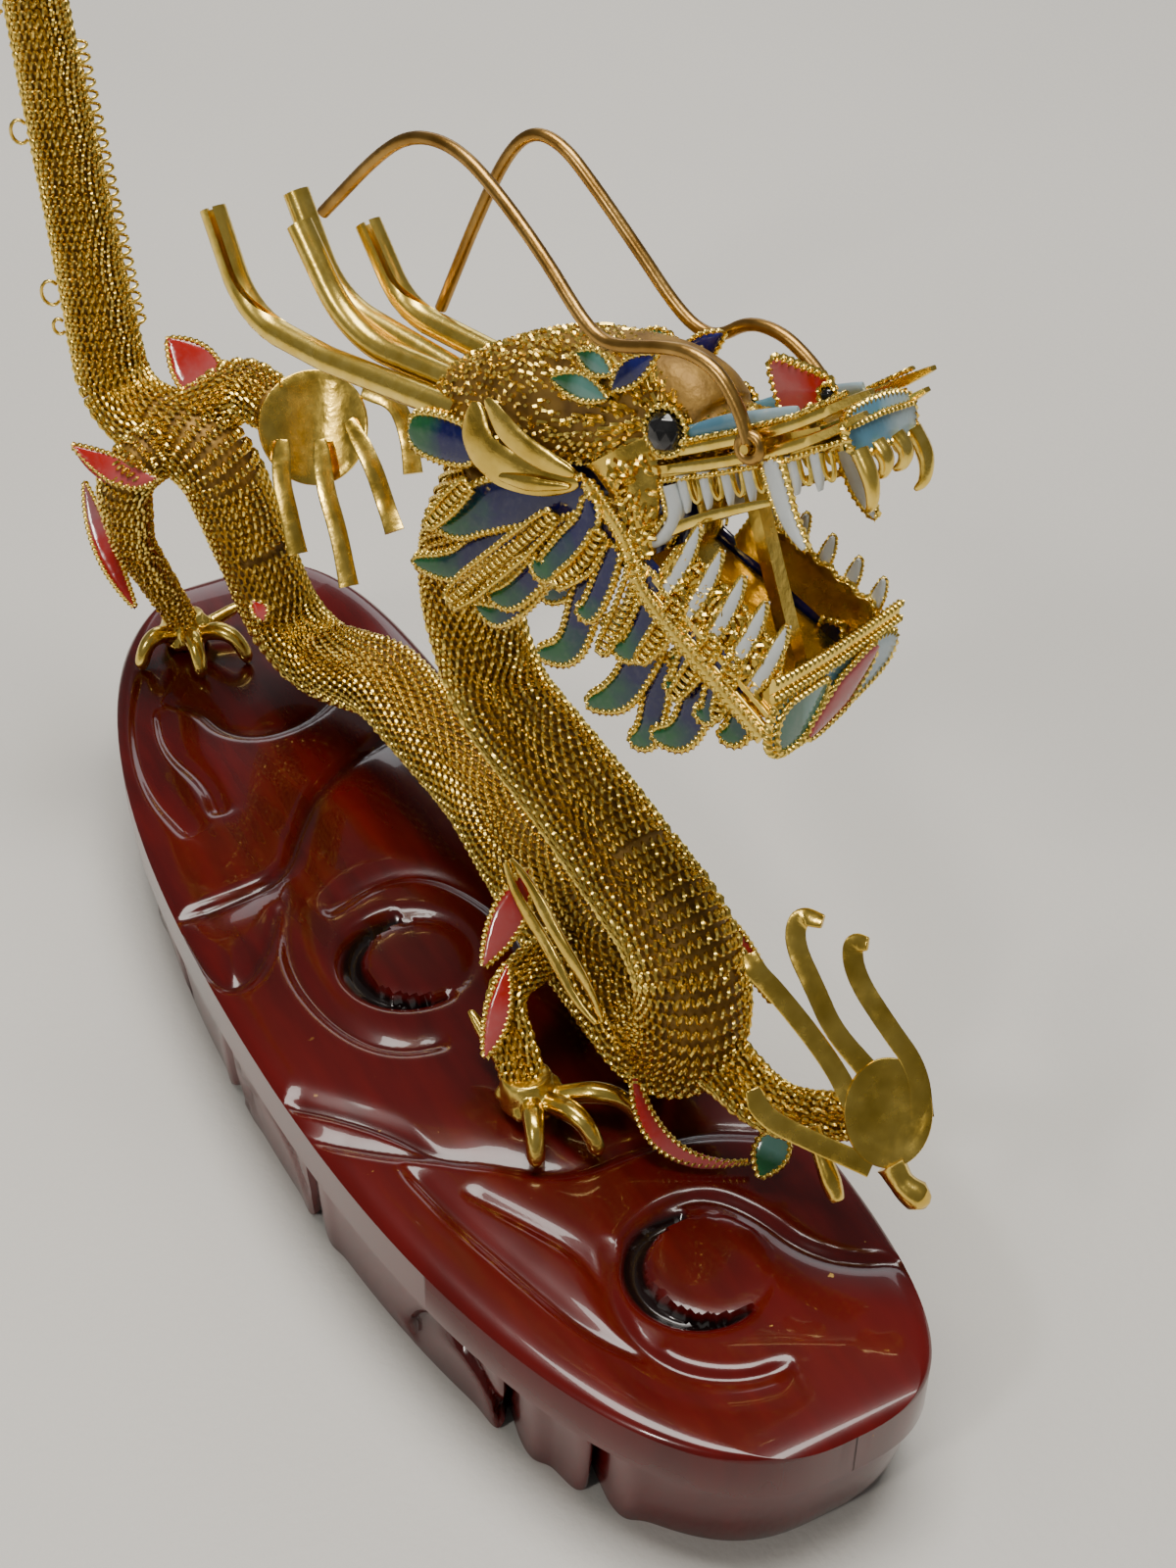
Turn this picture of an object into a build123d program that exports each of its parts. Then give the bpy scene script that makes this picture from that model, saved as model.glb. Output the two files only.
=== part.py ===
"""A gilt wirework dragon with enamel trim, standing on a carved and lacquered wooden stand.

Millimetres. +X is the way the dragon faces along its stand, +Y is its left, +Z is up, and the
origin is the middle of the stand's underside.
"""
import os
from math import asin, copysign, cos, degrees, pi, radians, sin, tan

from build123d import *

os.makedirs("parts", exist_ok=True)

# --- Driving dimensions -----------------------------------------------------------------------
STAND_LENGTH = 150.0
STAND_WIDTH = 45.0
STAND_BOW = 7.5  # how far the middle of the stand bows towards the dragon's right
STAND_SQUARENESS = 2.9  # 2 is an ellipse, and more is squarer
SKIRT_HEIGHT = 12.0
SLAB_THICKNESS = 6.0
SKIRT_INSET = 1.0
CARVING_DEPTH = 1.2
BOSS_RADIUS = 6.0
SCALLOP_RADIUS = 2.2
SCALLOPS = 14

TAIL_RADIUS = 3.5
BODY_RADIUS = 5.0
CHEST_RADIUS = 5.8
NECK_RADIUS = 5.2
LIMB_RADIUS = 2.3
PLATE = 0.8  # thickness of an enamelled plate
STRIP = 1.2  # thickness of a gilt strip

PEG_RADIUS = 0.8
PEG_LENGTH = 4.0
PEG_CLEARANCE = 0.05
PAW_CLEARANCE = 0.02  # under a standing paw

SKULL_WIDTH = 9.6
SKULL_BACK = -9.0
SKULL_FRONT = 27.5
HORN_RADIUS = 1.3
WHISKER_RADIUS = 0.6
WHISKER_STANDOFF = 1.0  # from each rail's face to the middle of the whisker's wire
PIN_RADIUS = 0.4
PIN_CLEARANCE = 0.05
EYE_RADIUS = 1.5
JAW_DROP = 51.0  # degrees that the lower jaw hangs below the line of the head
JAW_LENGTH = 18.0
JAW_WIDTH = 16.0  # across the chin
JAW_DEPTH = 7.5
SNOUT_LENGTH = 21.0
NOSE_LENGTH = 5.5
TOOTH_PITCH = 2.6
TOOTH_DEPTH = 2.6

STAND_TOP = SKIRT_HEIGHT + SLAB_THICKNESS
SNOUT_WIDTH = SKULL_WIDTH + 2 * PLATE  # the rails lie on the skull's sides
WHISKER_SPREAD = SNOUT_WIDTH / 2 + WHISKER_STANDOFF


# --- Stand: a slab with a rolled edge on a scalloped skirt ----------------------------------------
def stand_outline(inset):
    """The bowed oval of the stand, drawn in by an inset."""
    half_length = STAND_LENGTH / 2 - inset
    half_width = STAND_WIDTH / 2 - inset
    points = []
    for step in range(32):
        turn = 2 * pi * (step + 0.5) / 32
        x = half_length * copysign(abs(cos(turn)) ** (2 / STAND_SQUARENESS), cos(turn))
        y = half_width * copysign(abs(sin(turn)) ** (2 / STAND_SQUARENESS), sin(turn))
        points.append((x, y - STAND_BOW * (1 - (x / half_length) ** 2)))
    return points


def above(x, y, height):
    """A point at a height above the stand's top."""
    return Vector(x, y, STAND_TOP + height)


right_fore_foot = above(STAND_LENGTH * 0.18, -8, PAW_CLEARANCE)
right_hind_foot = above(-STAND_LENGTH * 5 / 12, -10, PAW_CLEARANCE)
bosses = (Vector(STAND_LENGTH * 0.35, -2), Vector(2, -8.5))

with BuildPart() as skirt:
    with BuildSketch():
        with BuildLine():
            Spline(*stand_outline(SKIRT_INSET), periodic=True)
        make_face()
    extrude(amount=SKIRT_HEIGHT)
    scallops = [stand_outline(SKIRT_INSET - SCALLOP_RADIUS / 2)[step] for step in range(1, 32, 2)]
    with BuildSketch():
        with Locations(*scallops[:SCALLOPS]):
            Circle(SCALLOP_RADIUS)
    extrude(amount=SKIRT_HEIGHT, mode=Mode.SUBTRACT)
skirt.part.label = "stand_skirt"
export_step(skirt.part, "parts/stand_skirt.step")

with BuildPart() as slab:
    with BuildSketch(Plane.XY.offset(SKIRT_HEIGHT)):
        with BuildLine():
            Spline(*stand_outline(0), periodic=True)
        make_face()
    extrude(amount=SLAB_THICKNESS)
    fillet(slab.edges().group_by(Axis.Z)[-1], SLAB_THICKNESS / 5)
    with BuildSketch(Plane.XY.offset(STAND_TOP)):
        for boss in bosses:
            with Locations(boss + Vector(-0.5, -1.2)):
                Circle(BOSS_RADIUS + 1.2)
            with Locations(boss):
                Circle(BOSS_RADIUS, mode=Mode.SUBTRACT)
    extrude(amount=-CARVING_DEPTH, mode=Mode.SUBTRACT)
    with Locations(*(Plane(foot).offset(STAND_TOP - foot.Z) for foot in (right_fore_foot, right_hind_foot))):
        Hole(PEG_RADIUS + PEG_CLEARANCE, depth=PEG_LENGTH + PEG_CLEARANCE * 10)
slab.part.label = "stand_slab"
export_step(slab.part, "parts/stand_slab.step")

# --- Head frame: x runs along the snout, y to its left and z out of its brow ------------------------
head = Plane(origin=above(7.2, 2, 67.8), x_dir=(0.765, 0.441, 0.469), z_dir=(-0.522, -0.002, 0.853))
jaw_corner = Vector(14, -15)
jaw_drop = Vector(cos(radians(JAW_DROP)), -sin(radians(JAW_DROP)))
jaw = Plane(origin=head.from_local_coords((jaw_corner.X, 0, jaw_corner.Y)),
            x_dir=head.x_dir * jaw_drop.X + head.z_dir * jaw_drop.Y,
            z_dir=head.x_dir * -jaw_drop.Y + head.z_dir * jaw_drop.X)


# --- Body: one long wirework tube, made in five lengths ---------------------------------------------
tail_end = above(-72, -12.5, 106)
tail_bend = above(-78, -13.5, 86)
rump = above(-66.5, -13.5, 34)
hip = above(-53, -7, 33)
belly_low = above(-47.5, -1, BODY_RADIUS + 0.5)
belly_arch = above(-31, 3.5, BODY_RADIUS + 6)
belly = above(-10, 5.5, BODY_RADIUS + 4)
breast = above(24, 3, BODY_RADIUS + 2)
chest = above(44, 4.5, CHEST_RADIUS + 1.7)
throat = above(33, 5.5, 23)
nape_low = above(16, 3.4, 29)
nape = above(2, 1.5, 33)
nape_high = above(-4.5, 0.8, 45)
neck_end = head.from_local_coords((-2.6, 0, -3.4))


def between(start, end, share=0.5):
    """A point on the straight run from start to end."""
    return start + (end - start) * share


rump_seam = between(rump, hip, 0.5)
hip_seam = between(hip, belly_low, 0.45)
breast_seam = between(belly, breast, 0.6)
throat_seam = between(throat, nape_low, 0.5)

for name, route, bends, radius in (
    ("tail_mesh", (tail_end, tail_bend, rump, rump_seam), (25, 6.3), TAIL_RADIUS),
    ("hip_mesh", (rump_seam, hip, hip_seam), (6.3,), BODY_RADIUS),
    ("torso_mesh", (hip_seam, belly_low, belly_arch, belly, breast_seam), (7.5, 12, 40), BODY_RADIUS),
    ("chest_mesh", (breast_seam, chest, throat, throat_seam), (8, 12), CHEST_RADIUS),
    ("neck_mesh", (throat_seam, nape_low, nape, nape_high, neck_end), (30, 9, 14), NECK_RADIUS),
):
    with BuildPart() as mesh:
        with BuildLine() as centre:
            FilletPolyline(*route, radius=bends)
        with BuildSketch(Plane(centre.line @ 0, z_dir=centre.line % 0)):
            Circle(radius)
        sweep()
    mesh.part.label = name
    export_step(mesh.part, f"parts/{name}.step")

# --- Flames: thin enamelled leaves with a hooked tip, soldered along the body and the limbs ----------
presenting = Vector(0.665, -0.369, 0.649)  # the way that the raised paws and most flames face
level = Vector(0.485, 0.874, 0)


def facing(x, y, height):
    """A plane through a point above the stand, facing the way that the raised paws do."""
    return Plane(origin=above(x, y, height), x_dir=level, z_dir=presenting)


for name, plane, root, tip, belly_point, back_point in (
    ("tail_flame", Plane(tail_end + Vector(0, -0.4, -1), x_dir=(1, 0, 0), z_dir=(0, -1, 0)),
     (0, 0), (7, 12.5), (6, 3), (0, 8)),
    ("right_shoulder_flame", facing(17.5, -4.8, 16.4), (-3, -4.5), (1.6, 5.6), (1.4, 0), (-1.2, 1.5)),
    ("right_foreleg_flame", facing((20.5 + right_fore_foot.X) / 2 - 1.15, -9.3, 10.4),
     (-1.2, -4.6), (1, 5.2), (1.2, -0.5), (-1, 0.5)),
    ("left_shoulder_flame", facing(33, 11.4, 19.5), (4, -6), (-4, 5), (1.5, 1), (0, -1.2)),
    ("breast_flame", facing(38.6, 3, 4.6), (7, -4.5), (-5, 6), (0.8, -2.6), (-2.2, -2)),
    ("left_elbow_tuft", facing(46.6, 9.6, 4), (0, 2.5), (-2.2, -2.8), (-2.6, 0.5), (0.5, -0.8)),
    ("right_thigh_flame", facing(-55.6, -17.9, 33), (5, -1.6), (-5, 2.2), (0.4, -2), (-0.2, 0.6)),
    ("right_shin_flame", facing((-58.5 + right_hind_foot.X) / 2 - 0.1, -17.6, 19),
     (2.4, -8), (-4, 7.5), (-2.6, -1), (-0.6, 0.5)),
    ("left_thigh_flame", facing(-59, -6, 39.4), (3.4, -4.4), (-3.4, 4.4), (2.2, 2.4), (-1.6, -1.6)),
    ("body_flame", facing(-42.2, -6.6, 17), (0, -1.2), (-1.4, 1.2), (0.4, 0.6), (-1.2, -0.4)),
):
    with BuildPart() as flame:
        with BuildSketch(plane):
            with BuildLine():
                ThreePointArc(root, belly_point, tip)
                ThreePointArc(tip, back_point, root)
            make_face()
        extrude(amount=PLATE)
    flame.part.label = name
    export_step(flame.part, f"parts/{name}.step")

# --- Limbs: tapering wirework sleeves that end in cast paws ---------------------------------------
for name, route, bend, radius in (
    ("right_foreleg", (above(17, 1, 11), above(20.5, -8, 10.5), right_fore_foot + Vector(-1.4, 0, 3)), 3.6,
     LIMB_RADIUS),
    ("left_foreleg", (above(38, 6, 12), above(46, 9, 8.5), above(54.4, 15, 13.6)), 8, LIMB_RADIUS * 1.2),
    ("right_thigh", (above(-57, -11, 33), above(-55.5, -17.5, 32), above(-57.5, -16.8, 24)), 4.2,
     LIMB_RADIUS * 1.5),
    ("right_shin", (above(-57.5, -16.8, 24), above(-58.5, -16.4, 20), right_hind_foot + Vector(0, 0, 3)), 6,
     LIMB_RADIUS),
    ("left_thigh", (above(-58, -7, 35), above(-56.5, -1.4, 38.5), above(-51, 0.5, 37.8)), 3.9, LIMB_RADIUS * 1.6),
):
    with BuildPart() as limb:
        with BuildLine() as centre:
            FilletPolyline(*route, radius=bend)
        with BuildSketch(Plane(centre.line @ 0, z_dir=centre.line % 0)):
            Circle(radius)
        sweep()
    limb.part.label = name
    export_step(limb.part, f"parts/{name}.step")

for name, foot, claws, spur in (
    ("right_fore_paw", right_fore_foot, ((-23, 8), (18, 9.5), (50, 11.5)), (190, 10, 6)),
    ("right_hind_paw", right_hind_foot, ((-70, 7.5), (-8, 7.5), (35, 9)), (92, 8, 3.5)),
):
    with BuildPart() as paw:
        with BuildSketch(Plane(foot)):
            Circle(3.4)
        extrude(amount=3.6, taper=16)
        with BuildSketch(Plane(foot)):
            Circle(PEG_RADIUS)
        extrude(amount=-PEG_LENGTH)
        for heading, reach in claws:
            across = Plane(origin=foot, x_dir=(cos(radians(heading)), sin(radians(heading)), 0),
                           z_dir=(sin(radians(heading)), -cos(radians(heading)), 0))
            with BuildSketch(across):
                with BuildLine():
                    ThreePointArc((1, 1.2), (reach * 0.62, 3.2), (reach, 0))
                    ThreePointArc((reach, 0), (reach * 0.55, 5), (1, 3.4))
                    Line((1, 3.4), (1, 1.2))
                make_face()
            extrude(amount=0.9, both=True)
        heading, reach, rise = spur
        across = Plane(origin=foot, x_dir=(cos(radians(heading)), sin(radians(heading)), 0),
                       z_dir=(sin(radians(heading)), -cos(radians(heading)), 0))
        with BuildSketch(across):
            with BuildLine():
                ThreePointArc((1, 0.8), (reach * 0.6, rise * 0.35), (reach, rise))
                ThreePointArc((reach, rise), (reach * 0.5, rise * 0.75), (1, 3.2))
                Line((1, 3.2), (1, 0.8))
            make_face()
        extrude(amount=0.8, both=True)
    paw.part.label = name
    export_step(paw.part, f"parts/{name}.step")

for name, plane, sole, fingers in (
    ("left_fore_paw", facing(56.3, 14, 16.6), (4, 4.9),
     (((-12.6, 14), (-3, 2)), ((-7.5, 18.5), (-1.2, 4)), ((-2.6, 16), (2.2, 4)), ((-12.4, 2.4), (-3.4, -1.2)),
      ((3, -7.4), (1.4, -3.4)))),
    ("left_hind_paw", facing(-46.3, 3, 37.1), (5, 5.6),
     (((-2, -13), (-1.5, -4)), ((4, -18), (1.6, -4.4)), ((9.2, -11.5), (4, -3)), ((11, -4.5), (4.4, 0.5)))),
):
    with BuildPart() as paw:
        with BuildSketch(plane):
            Ellipse(*sole)
            for tip, knuckle in fingers:
                reach = Vector(*tip) - Vector(*knuckle)
                middle = (Vector(*tip) + Vector(*knuckle)) / 2
                with Locations(middle):
                    SlotOverall(reach.length + 1.6, 1.6, rotation=degrees(asin(reach.Y / reach.length))
                                if reach.X > 0 else 180 - degrees(asin(reach.Y / reach.length)))
        extrude(amount=STRIP)
    paw.part.label = name
    export_step(paw.part, f"parts/{name}.step")

# the long lens-shaped gilt frame where the breast and the throat come together
with BuildPart() as lens:
    with BuildSketch(Plane(origin=above(22.4, -2.4, 17.2), x_dir=(0.83, 0.1, -0.52), z_dir=(0.16, -0.98, 0.06))):
        with BuildLine():
            ThreePointArc((-9, 0), (0, 2.6), (9, 0))
            ThreePointArc((9, 0), (0, -2), (-9, 0))
        make_face()
        with BuildLine():
            ThreePointArc((-6.6, 0.1), (0, 1.4), (6.6, 0.1))
            ThreePointArc((6.6, 0.1), (0, -0.9), (-6.6, 0.1))
        make_face(mode=Mode.SUBTRACT)
    extrude(amount=STRIP)
lens.part.label = "breast_frame"
export_step(lens.part, "parts/breast_frame.step")

# --- Head: sheet-metal plates round a wirework skull --------------------------------------------------
def side_of(frame, left):
    """The plane of a plate that stands lengthwise in a frame, with its x forward and its y up."""
    return Plane(origin=frame.from_local_coords((0, left, 0)), x_dir=frame.x_dir, z_dir=-frame.y_dir)


def across(frame, forward):
    """The plane of a plate that stands crosswise in a frame, with its x to the left and its y up."""
    return Plane(origin=frame.from_local_coords((forward, 0, 0)), x_dir=frame.y_dir, z_dir=frame.x_dir)


def tooth_line(start, end, depth=-TOOTH_DEPTH):
    """The points of a row of pointed teeth from start to end. A depth below 0 points to the left of the way."""
    run = Vector(*end) - Vector(*start)
    count = max(1, round(run.length / TOOTH_PITCH))
    down = Vector(run.Y, -run.X) / run.length * depth
    points = []
    for tooth in range(count):
        points.append(Vector(*start) + run * (tooth / count))
        points.append(Vector(*start) + run * ((tooth + 0.5) / count) + down)
    return points + [Vector(*end)]


with BuildPart() as skull:
    with BuildSketch(side_of(head, SKULL_WIDTH / 2)):
        with BuildLine():
            Spline((-8.6, 4.6), (3, 7), (14, 5.2), (22, 2), (27, -3), (22, -6), (13, -6.4), (3, -4.8),
                   (-8, -4.2), periodic=True)
        make_face()
    extrude(amount=SKULL_WIDTH)
    with BuildSketch(head):
        with Locations(((SKULL_FRONT + SKULL_BACK) / 2, 0)):
            SlotOverall(SKULL_FRONT - SKULL_BACK, SKULL_WIDTH)
    extrude(amount=SKULL_WIDTH * 2, both=True, mode=Mode.INTERSECT)
skull.part.label = "skull"
export_step(skull.part, "parts/skull.step")

# upper jaw: an open trough between two gilt rails, toothed below
snout_start = 16.0
snout_end = snout_start + SNOUT_LENGTH
with BuildPart() as palate:
    with BuildSketch(Plane(origin=head.from_local_coords((0, 0, -7.6)), x_dir=head.x_dir, z_dir=head.z_dir)):
        with Locations(((snout_start + snout_end - PLATE) / 2, 0)):
            Rectangle(SNOUT_LENGTH - PLATE, SKULL_WIDTH)
    extrude(amount=PLATE)
palate.part.label = "palate"
export_step(palate.part, "parts/palate.step")

for side, hand in (("right", -1), ("left", 1)):
    outer_face = SNOUT_WIDTH / 2 if hand > 0 else -SNOUT_WIDTH / 2 + PLATE
    with BuildPart() as rail:
        with BuildSketch(side_of(head, outer_face)):
            with BuildLine():
                Polyline((snout_start, -7.4), (30, -7.4), (snout_end, -6.4), (snout_end + 3, -3.6),
                         (30, -5.4), (snout_start, -5.2), close=True)
            make_face()
        extrude(amount=PLATE)
    rail.part.label = f"{side}_jaw_rail"
    export_step(rail.part, f"parts/{side}_jaw_rail.step")

    with BuildPart() as teeth:
        with BuildSketch(side_of(head, outer_face)):
            with BuildLine():
                Polyline((snout_start, -7.4), *tooth_line((snout_end - 1, -9), (32, -9.2)), (30.6, -14.4),
                         *tooth_line((29, -9.6), (snout_start + 3, -9.8)), (14.6, -12.6), close=True)
            make_face()
            with BuildLine():
                Polyline((snout_start, -7.4), (30, -7.4), (snout_end, -6.4), (snout_end, -4), (snout_start, -4),
                         close=True)
            make_face(mode=Mode.SUBTRACT)
        extrude(amount=PLATE)
    teeth.part.label = f"{side}_upper_teeth"
    export_step(teeth.part, f"parts/{side}_upper_teeth.step")

    with BuildPart() as brow:
        with BuildSketch(side_of(head, SKULL_WIDTH / 2 + PLATE if hand > 0 else -SKULL_WIDTH / 2)):
            with BuildLine():
                ThreePointArc((8, 1), (12.5, 4.2), (18, 1.2))
                ThreePointArc((18, 1.2), (13, 0), (8, 1))
            make_face()
        extrude(amount=PLATE)
    brow.part.label = f"{side}_brow"
    export_step(brow.part, f"parts/{side}_brow.step")

    with BuildPart() as ear:
        with BuildSketch(side_of(head, SKULL_WIDTH / 2 + PLATE if hand > 0 else -SKULL_WIDTH / 2)):
            with BuildLine():
                ThreePointArc((7, -2.6), (1, 1.6), (-6, -0.6))
                ThreePointArc((-6, -0.6), (0, -3), (7, -2.6))
            make_face()
        extrude(amount=PLATE)
    ear.part.label = f"{side}_ear"
    export_step(ear.part, f"parts/{side}_ear.step")

    with BuildPart() as eye:
        with BuildSketch(side_of(head, hand * SKULL_WIDTH / 2)):
            with Locations((19.6, -2.6)):
                Circle(EYE_RADIUS)
        extrude(amount=-hand * PLATE)
    eye.part.label = f"{side}_eye"
    export_step(eye.part, f"parts/{side}_eye.step")

    with BuildPart() as mane:
        with BuildSketch(side_of(head, SKULL_WIDTH / 2 + PLATE if hand > 0 else -SKULL_WIDTH / 2)):
            with BuildLine():
                Polyline((-2.5, -3.5), (7.5, -3.4), jaw_corner - jaw_drop * 3,
                         jaw_corner + jaw_drop * (JAW_LENGTH - 1), (20.8, -30), (19.6, -25.6),
                         (14, -29.4), (16, -23), (9, -29.4), (12.4, -19.8),
                         (5.8, -25.2), (9.4, -17), (1, -21.4), (6.4, -14), (-5, -16), (1.4, -10.4),
                         (-11.4, -11.3), (-3.4, -7), (-7.4, -6.4), close=True)
            make_face()
        extrude(amount=PLATE)
    mane.part.label = f"{side}_mane"
    export_step(mane.part, f"parts/{side}_mane.step")

with BuildPart() as fangs:
    with BuildSketch(across(head, snout_end - PLATE)):
        with BuildLine():
            Polyline((-SNOUT_WIDTH / 2 + PLATE, -6.4), (-4, -12.2), (-2.4, -8.6), (-1.2, -10.4), (0, -8.6),
                     (1.2, -10.4), (2.4, -8.6), (4, -12.2), (SNOUT_WIDTH / 2 - PLATE, -6.4), close=True)
        make_face()
    extrude(amount=PLATE)
fangs.part.label = "front_fangs"
export_step(fangs.part, "parts/front_fangs.step")

# a bridge between the rails, with the plate of the nose upright along its middle
with BuildPart() as bridge:
    with BuildSketch(Plane(origin=head.from_local_coords((31, 0, -6.2)), x_dir=head.x_dir, z_dir=head.z_dir)):
        Rectangle(2 * (31 - SKULL_FRONT), SKULL_WIDTH)
    extrude(amount=PLATE)
bridge.part.label = "nose_bridge"
export_step(bridge.part, "parts/nose_bridge.step")

with BuildPart() as nose:
    with BuildSketch(side_of(head, PLATE / 2)):
        with BuildLine():
            Polyline((SKULL_FRONT + 0.4, PLATE - 6.2), (SKULL_FRONT + NOSE_LENGTH, PLATE - 6.2),
                     (SKULL_FRONT + NOSE_LENGTH + 0.4, -3), (SKULL_FRONT + 0.6, 0.4), close=True)
        make_face()
    extrude(amount=PLATE)
nose.part.label = "nose_plate"
export_step(nose.part, "parts/nose_plate.step")

# lower jaw: a widening tray, with toothed sides, that hangs open on a strut
with BuildPart() as tray:
    with BuildSketch(jaw):
        with BuildLine():
            Polyline((-1, -SNOUT_WIDTH / 2 + PLATE), (JAW_LENGTH, -JAW_WIDTH / 2 + PLATE),
                     (JAW_LENGTH, JAW_WIDTH / 2 - PLATE), (-1, SNOUT_WIDTH / 2 - PLATE), close=True)
        make_face()
    extrude(amount=PLATE)
tray.part.label = "jaw_tray"
export_step(tray.part, "parts/jaw_tray.step")

flare = (JAW_WIDTH - SNOUT_WIDTH) / 2 / (JAW_LENGTH + 1)
for side, hand in (("right", -1), ("left", 1)):
    along = Plane(origin=jaw.from_local_coords((-1, hand * (SNOUT_WIDTH / 2 - PLATE), 0)),
                  x_dir=jaw.x_dir + jaw.y_dir * (hand * flare), z_dir=jaw.y_dir * hand - jaw.x_dir * flare)
    with BuildPart() as teeth:
        with BuildSketch(along):
            with BuildLine():
                Polyline((2.4, 0), *tooth_line((2.6, -hand * (JAW_DEPTH - TOOTH_DEPTH)),
                                               (JAW_LENGTH, -hand * (JAW_DEPTH - 1.4 * TOOTH_DEPTH)),
                                               hand * TOOTH_DEPTH), (JAW_LENGTH, 0), close=True)
            make_face()
        extrude(amount=PLATE)
    teeth.part.label = f"{side}_lower_teeth"
    export_step(teeth.part, f"parts/{side}_lower_teeth.step")

with BuildPart() as chin:
    with BuildSketch(across(jaw, JAW_LENGTH + 0.4)):
        with Locations((0, 1.6)):
            Rectangle(JAW_WIDTH + 1, JAW_DEPTH - 0.5)
    extrude(amount=PLATE * 1.5)
chin.part.label = "chin_plate"
export_step(chin.part, "parts/chin_plate.step")

with BuildPart() as strut:
    with BuildSketch(Plane(head.from_local_coords((24.4, -1.4, -7.6)), x_dir=head.y_dir, z_dir=-head.z_dir)):
        Rectangle(1.8, STRIP)
    tray_drop = (24.4 - STRIP / 2 - jaw_corner.X) * tan(radians(JAW_DROP)) - PLATE / cos(radians(JAW_DROP))
    extrude(amount=tray_drop - jaw_corner.Y - 7.6 + 0.37)
strut.part.label = "jaw_strut"
export_step(strut.part, "parts/jaw_strut.step")

# --- Horns: rolled gilt tubes that sweep back over the neck ------------------------------------------
for name, left, route, bend in (
    ("right_outer_horn", -3.4, ((-6, 2.6), (-18.3, 9), (-27, 14.6), (-27.8, 25.2)), 9),
    ("right_inner_horn", -1.3, ((-5.6, 4.4), (-16.6, 10.4), (-19.3, 21.6)), 12),
    ("left_inner_horn", 1.5, ((-6, 4), (-20, 14), (-21.4, 24.7)), 10),
    ("left_outer_horn", 3.6, ((-3, 5), (-13.6, 11.6), (-15.4, 20.2)), 8),
):
    with BuildPart() as horn:
        with BuildLine(side_of(head, left)) as centre:
            FilletPolyline(*route, radius=bend)
        with BuildSketch(Plane(centre.line @ 0, z_dir=centre.line % 0)):
            Circle(HORN_RADIUS)
        sweep()
    horn.part.label = name
    export_step(horn.part, f"parts/{name}.step")

# --- Whiskers: springy wires, each with its root bent into an eye round a pin on the rail -------------
for side, hand, route, bends in (
    ("right", -1, ((28.7, -WHISKER_SPREAD, -5.8), (26.6, -WHISKER_SPREAD, 3.2), (15.2, -WHISKER_SPREAD, 4.4),
                   (3.2, -4, 27.6), (-14.6, -3.4, 21.8)), (3.4, 3.4, 6)),
    ("left", 1, ((29, WHISKER_SPREAD, -5.8), (26.8, WHISKER_SPREAD, 3.6), (17.4, WHISKER_SPREAD, 3),
                 (6.4, 5.4, 26.2), (-9.6, 6.4, 11.6)), (3.2, 3.2, 4)),
):
    root = head.from_local_coords(route[0])
    eye_face = Plane(origin=root - head.y_dir * WHISKER_RADIUS, x_dir=head.x_dir, z_dir=head.y_dir)
    with BuildPart() as whisker:
        with BuildLine() as centre:
            FilletPolyline(*[head.from_local_coords(point) for point in route], radius=bends)
        with BuildSketch(Plane(centre.line @ 0, z_dir=centre.line % 0)):
            Circle(WHISKER_RADIUS)
        sweep()
        with BuildSketch(eye_face):
            Circle(PIN_RADIUS + PIN_CLEARANCE + 2 * WHISKER_RADIUS)
        extrude(amount=2 * WHISKER_RADIUS)
        with BuildSketch(eye_face):
            Circle(PIN_RADIUS + PIN_CLEARANCE)
        extrude(amount=2 * WHISKER_RADIUS, both=True, mode=Mode.SUBTRACT)
    whisker.part.label = f"{side}_whisker"
    export_step(whisker.part, f"parts/{side}_whisker.step")

    with BuildPart() as pin:
        foot = head.from_local_coords((route[0][0], hand * SNOUT_WIDTH / 2, route[0][2]))
        with BuildSketch(Plane(origin=foot, x_dir=head.x_dir, z_dir=head.y_dir * hand)):
            Circle(PIN_RADIUS)
        extrude(amount=WHISKER_SPREAD + WHISKER_RADIUS + 0.3 - SNOUT_WIDTH / 2)
    pin.part.label = f"{side}_whisker_pin"
    export_step(pin.part, f"parts/{side}_whisker_pin.step")
    print(f"{side}_whisker turns about", root, "along", head.y_dir)
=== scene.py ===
from math import asin, atan2, cos, degrees, pi, radians, sin, tau

import bpy
import numpy as np
from mathutils import Euler, Matrix, Vector


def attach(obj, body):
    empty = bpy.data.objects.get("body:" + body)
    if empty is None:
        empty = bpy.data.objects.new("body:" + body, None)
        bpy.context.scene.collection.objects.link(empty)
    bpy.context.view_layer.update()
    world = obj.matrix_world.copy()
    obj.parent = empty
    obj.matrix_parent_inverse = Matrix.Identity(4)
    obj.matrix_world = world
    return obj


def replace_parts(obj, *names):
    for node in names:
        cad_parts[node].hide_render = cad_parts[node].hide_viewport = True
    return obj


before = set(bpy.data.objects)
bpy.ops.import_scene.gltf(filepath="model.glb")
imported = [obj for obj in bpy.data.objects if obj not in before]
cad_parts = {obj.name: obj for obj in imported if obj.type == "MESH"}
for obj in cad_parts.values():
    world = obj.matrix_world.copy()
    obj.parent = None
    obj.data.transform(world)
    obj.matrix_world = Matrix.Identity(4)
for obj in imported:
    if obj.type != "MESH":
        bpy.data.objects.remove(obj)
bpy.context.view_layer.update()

MM = 0.001
YAW, PITCH, ROLL = radians(60.946), radians(40.477), radians(0.556)

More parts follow.
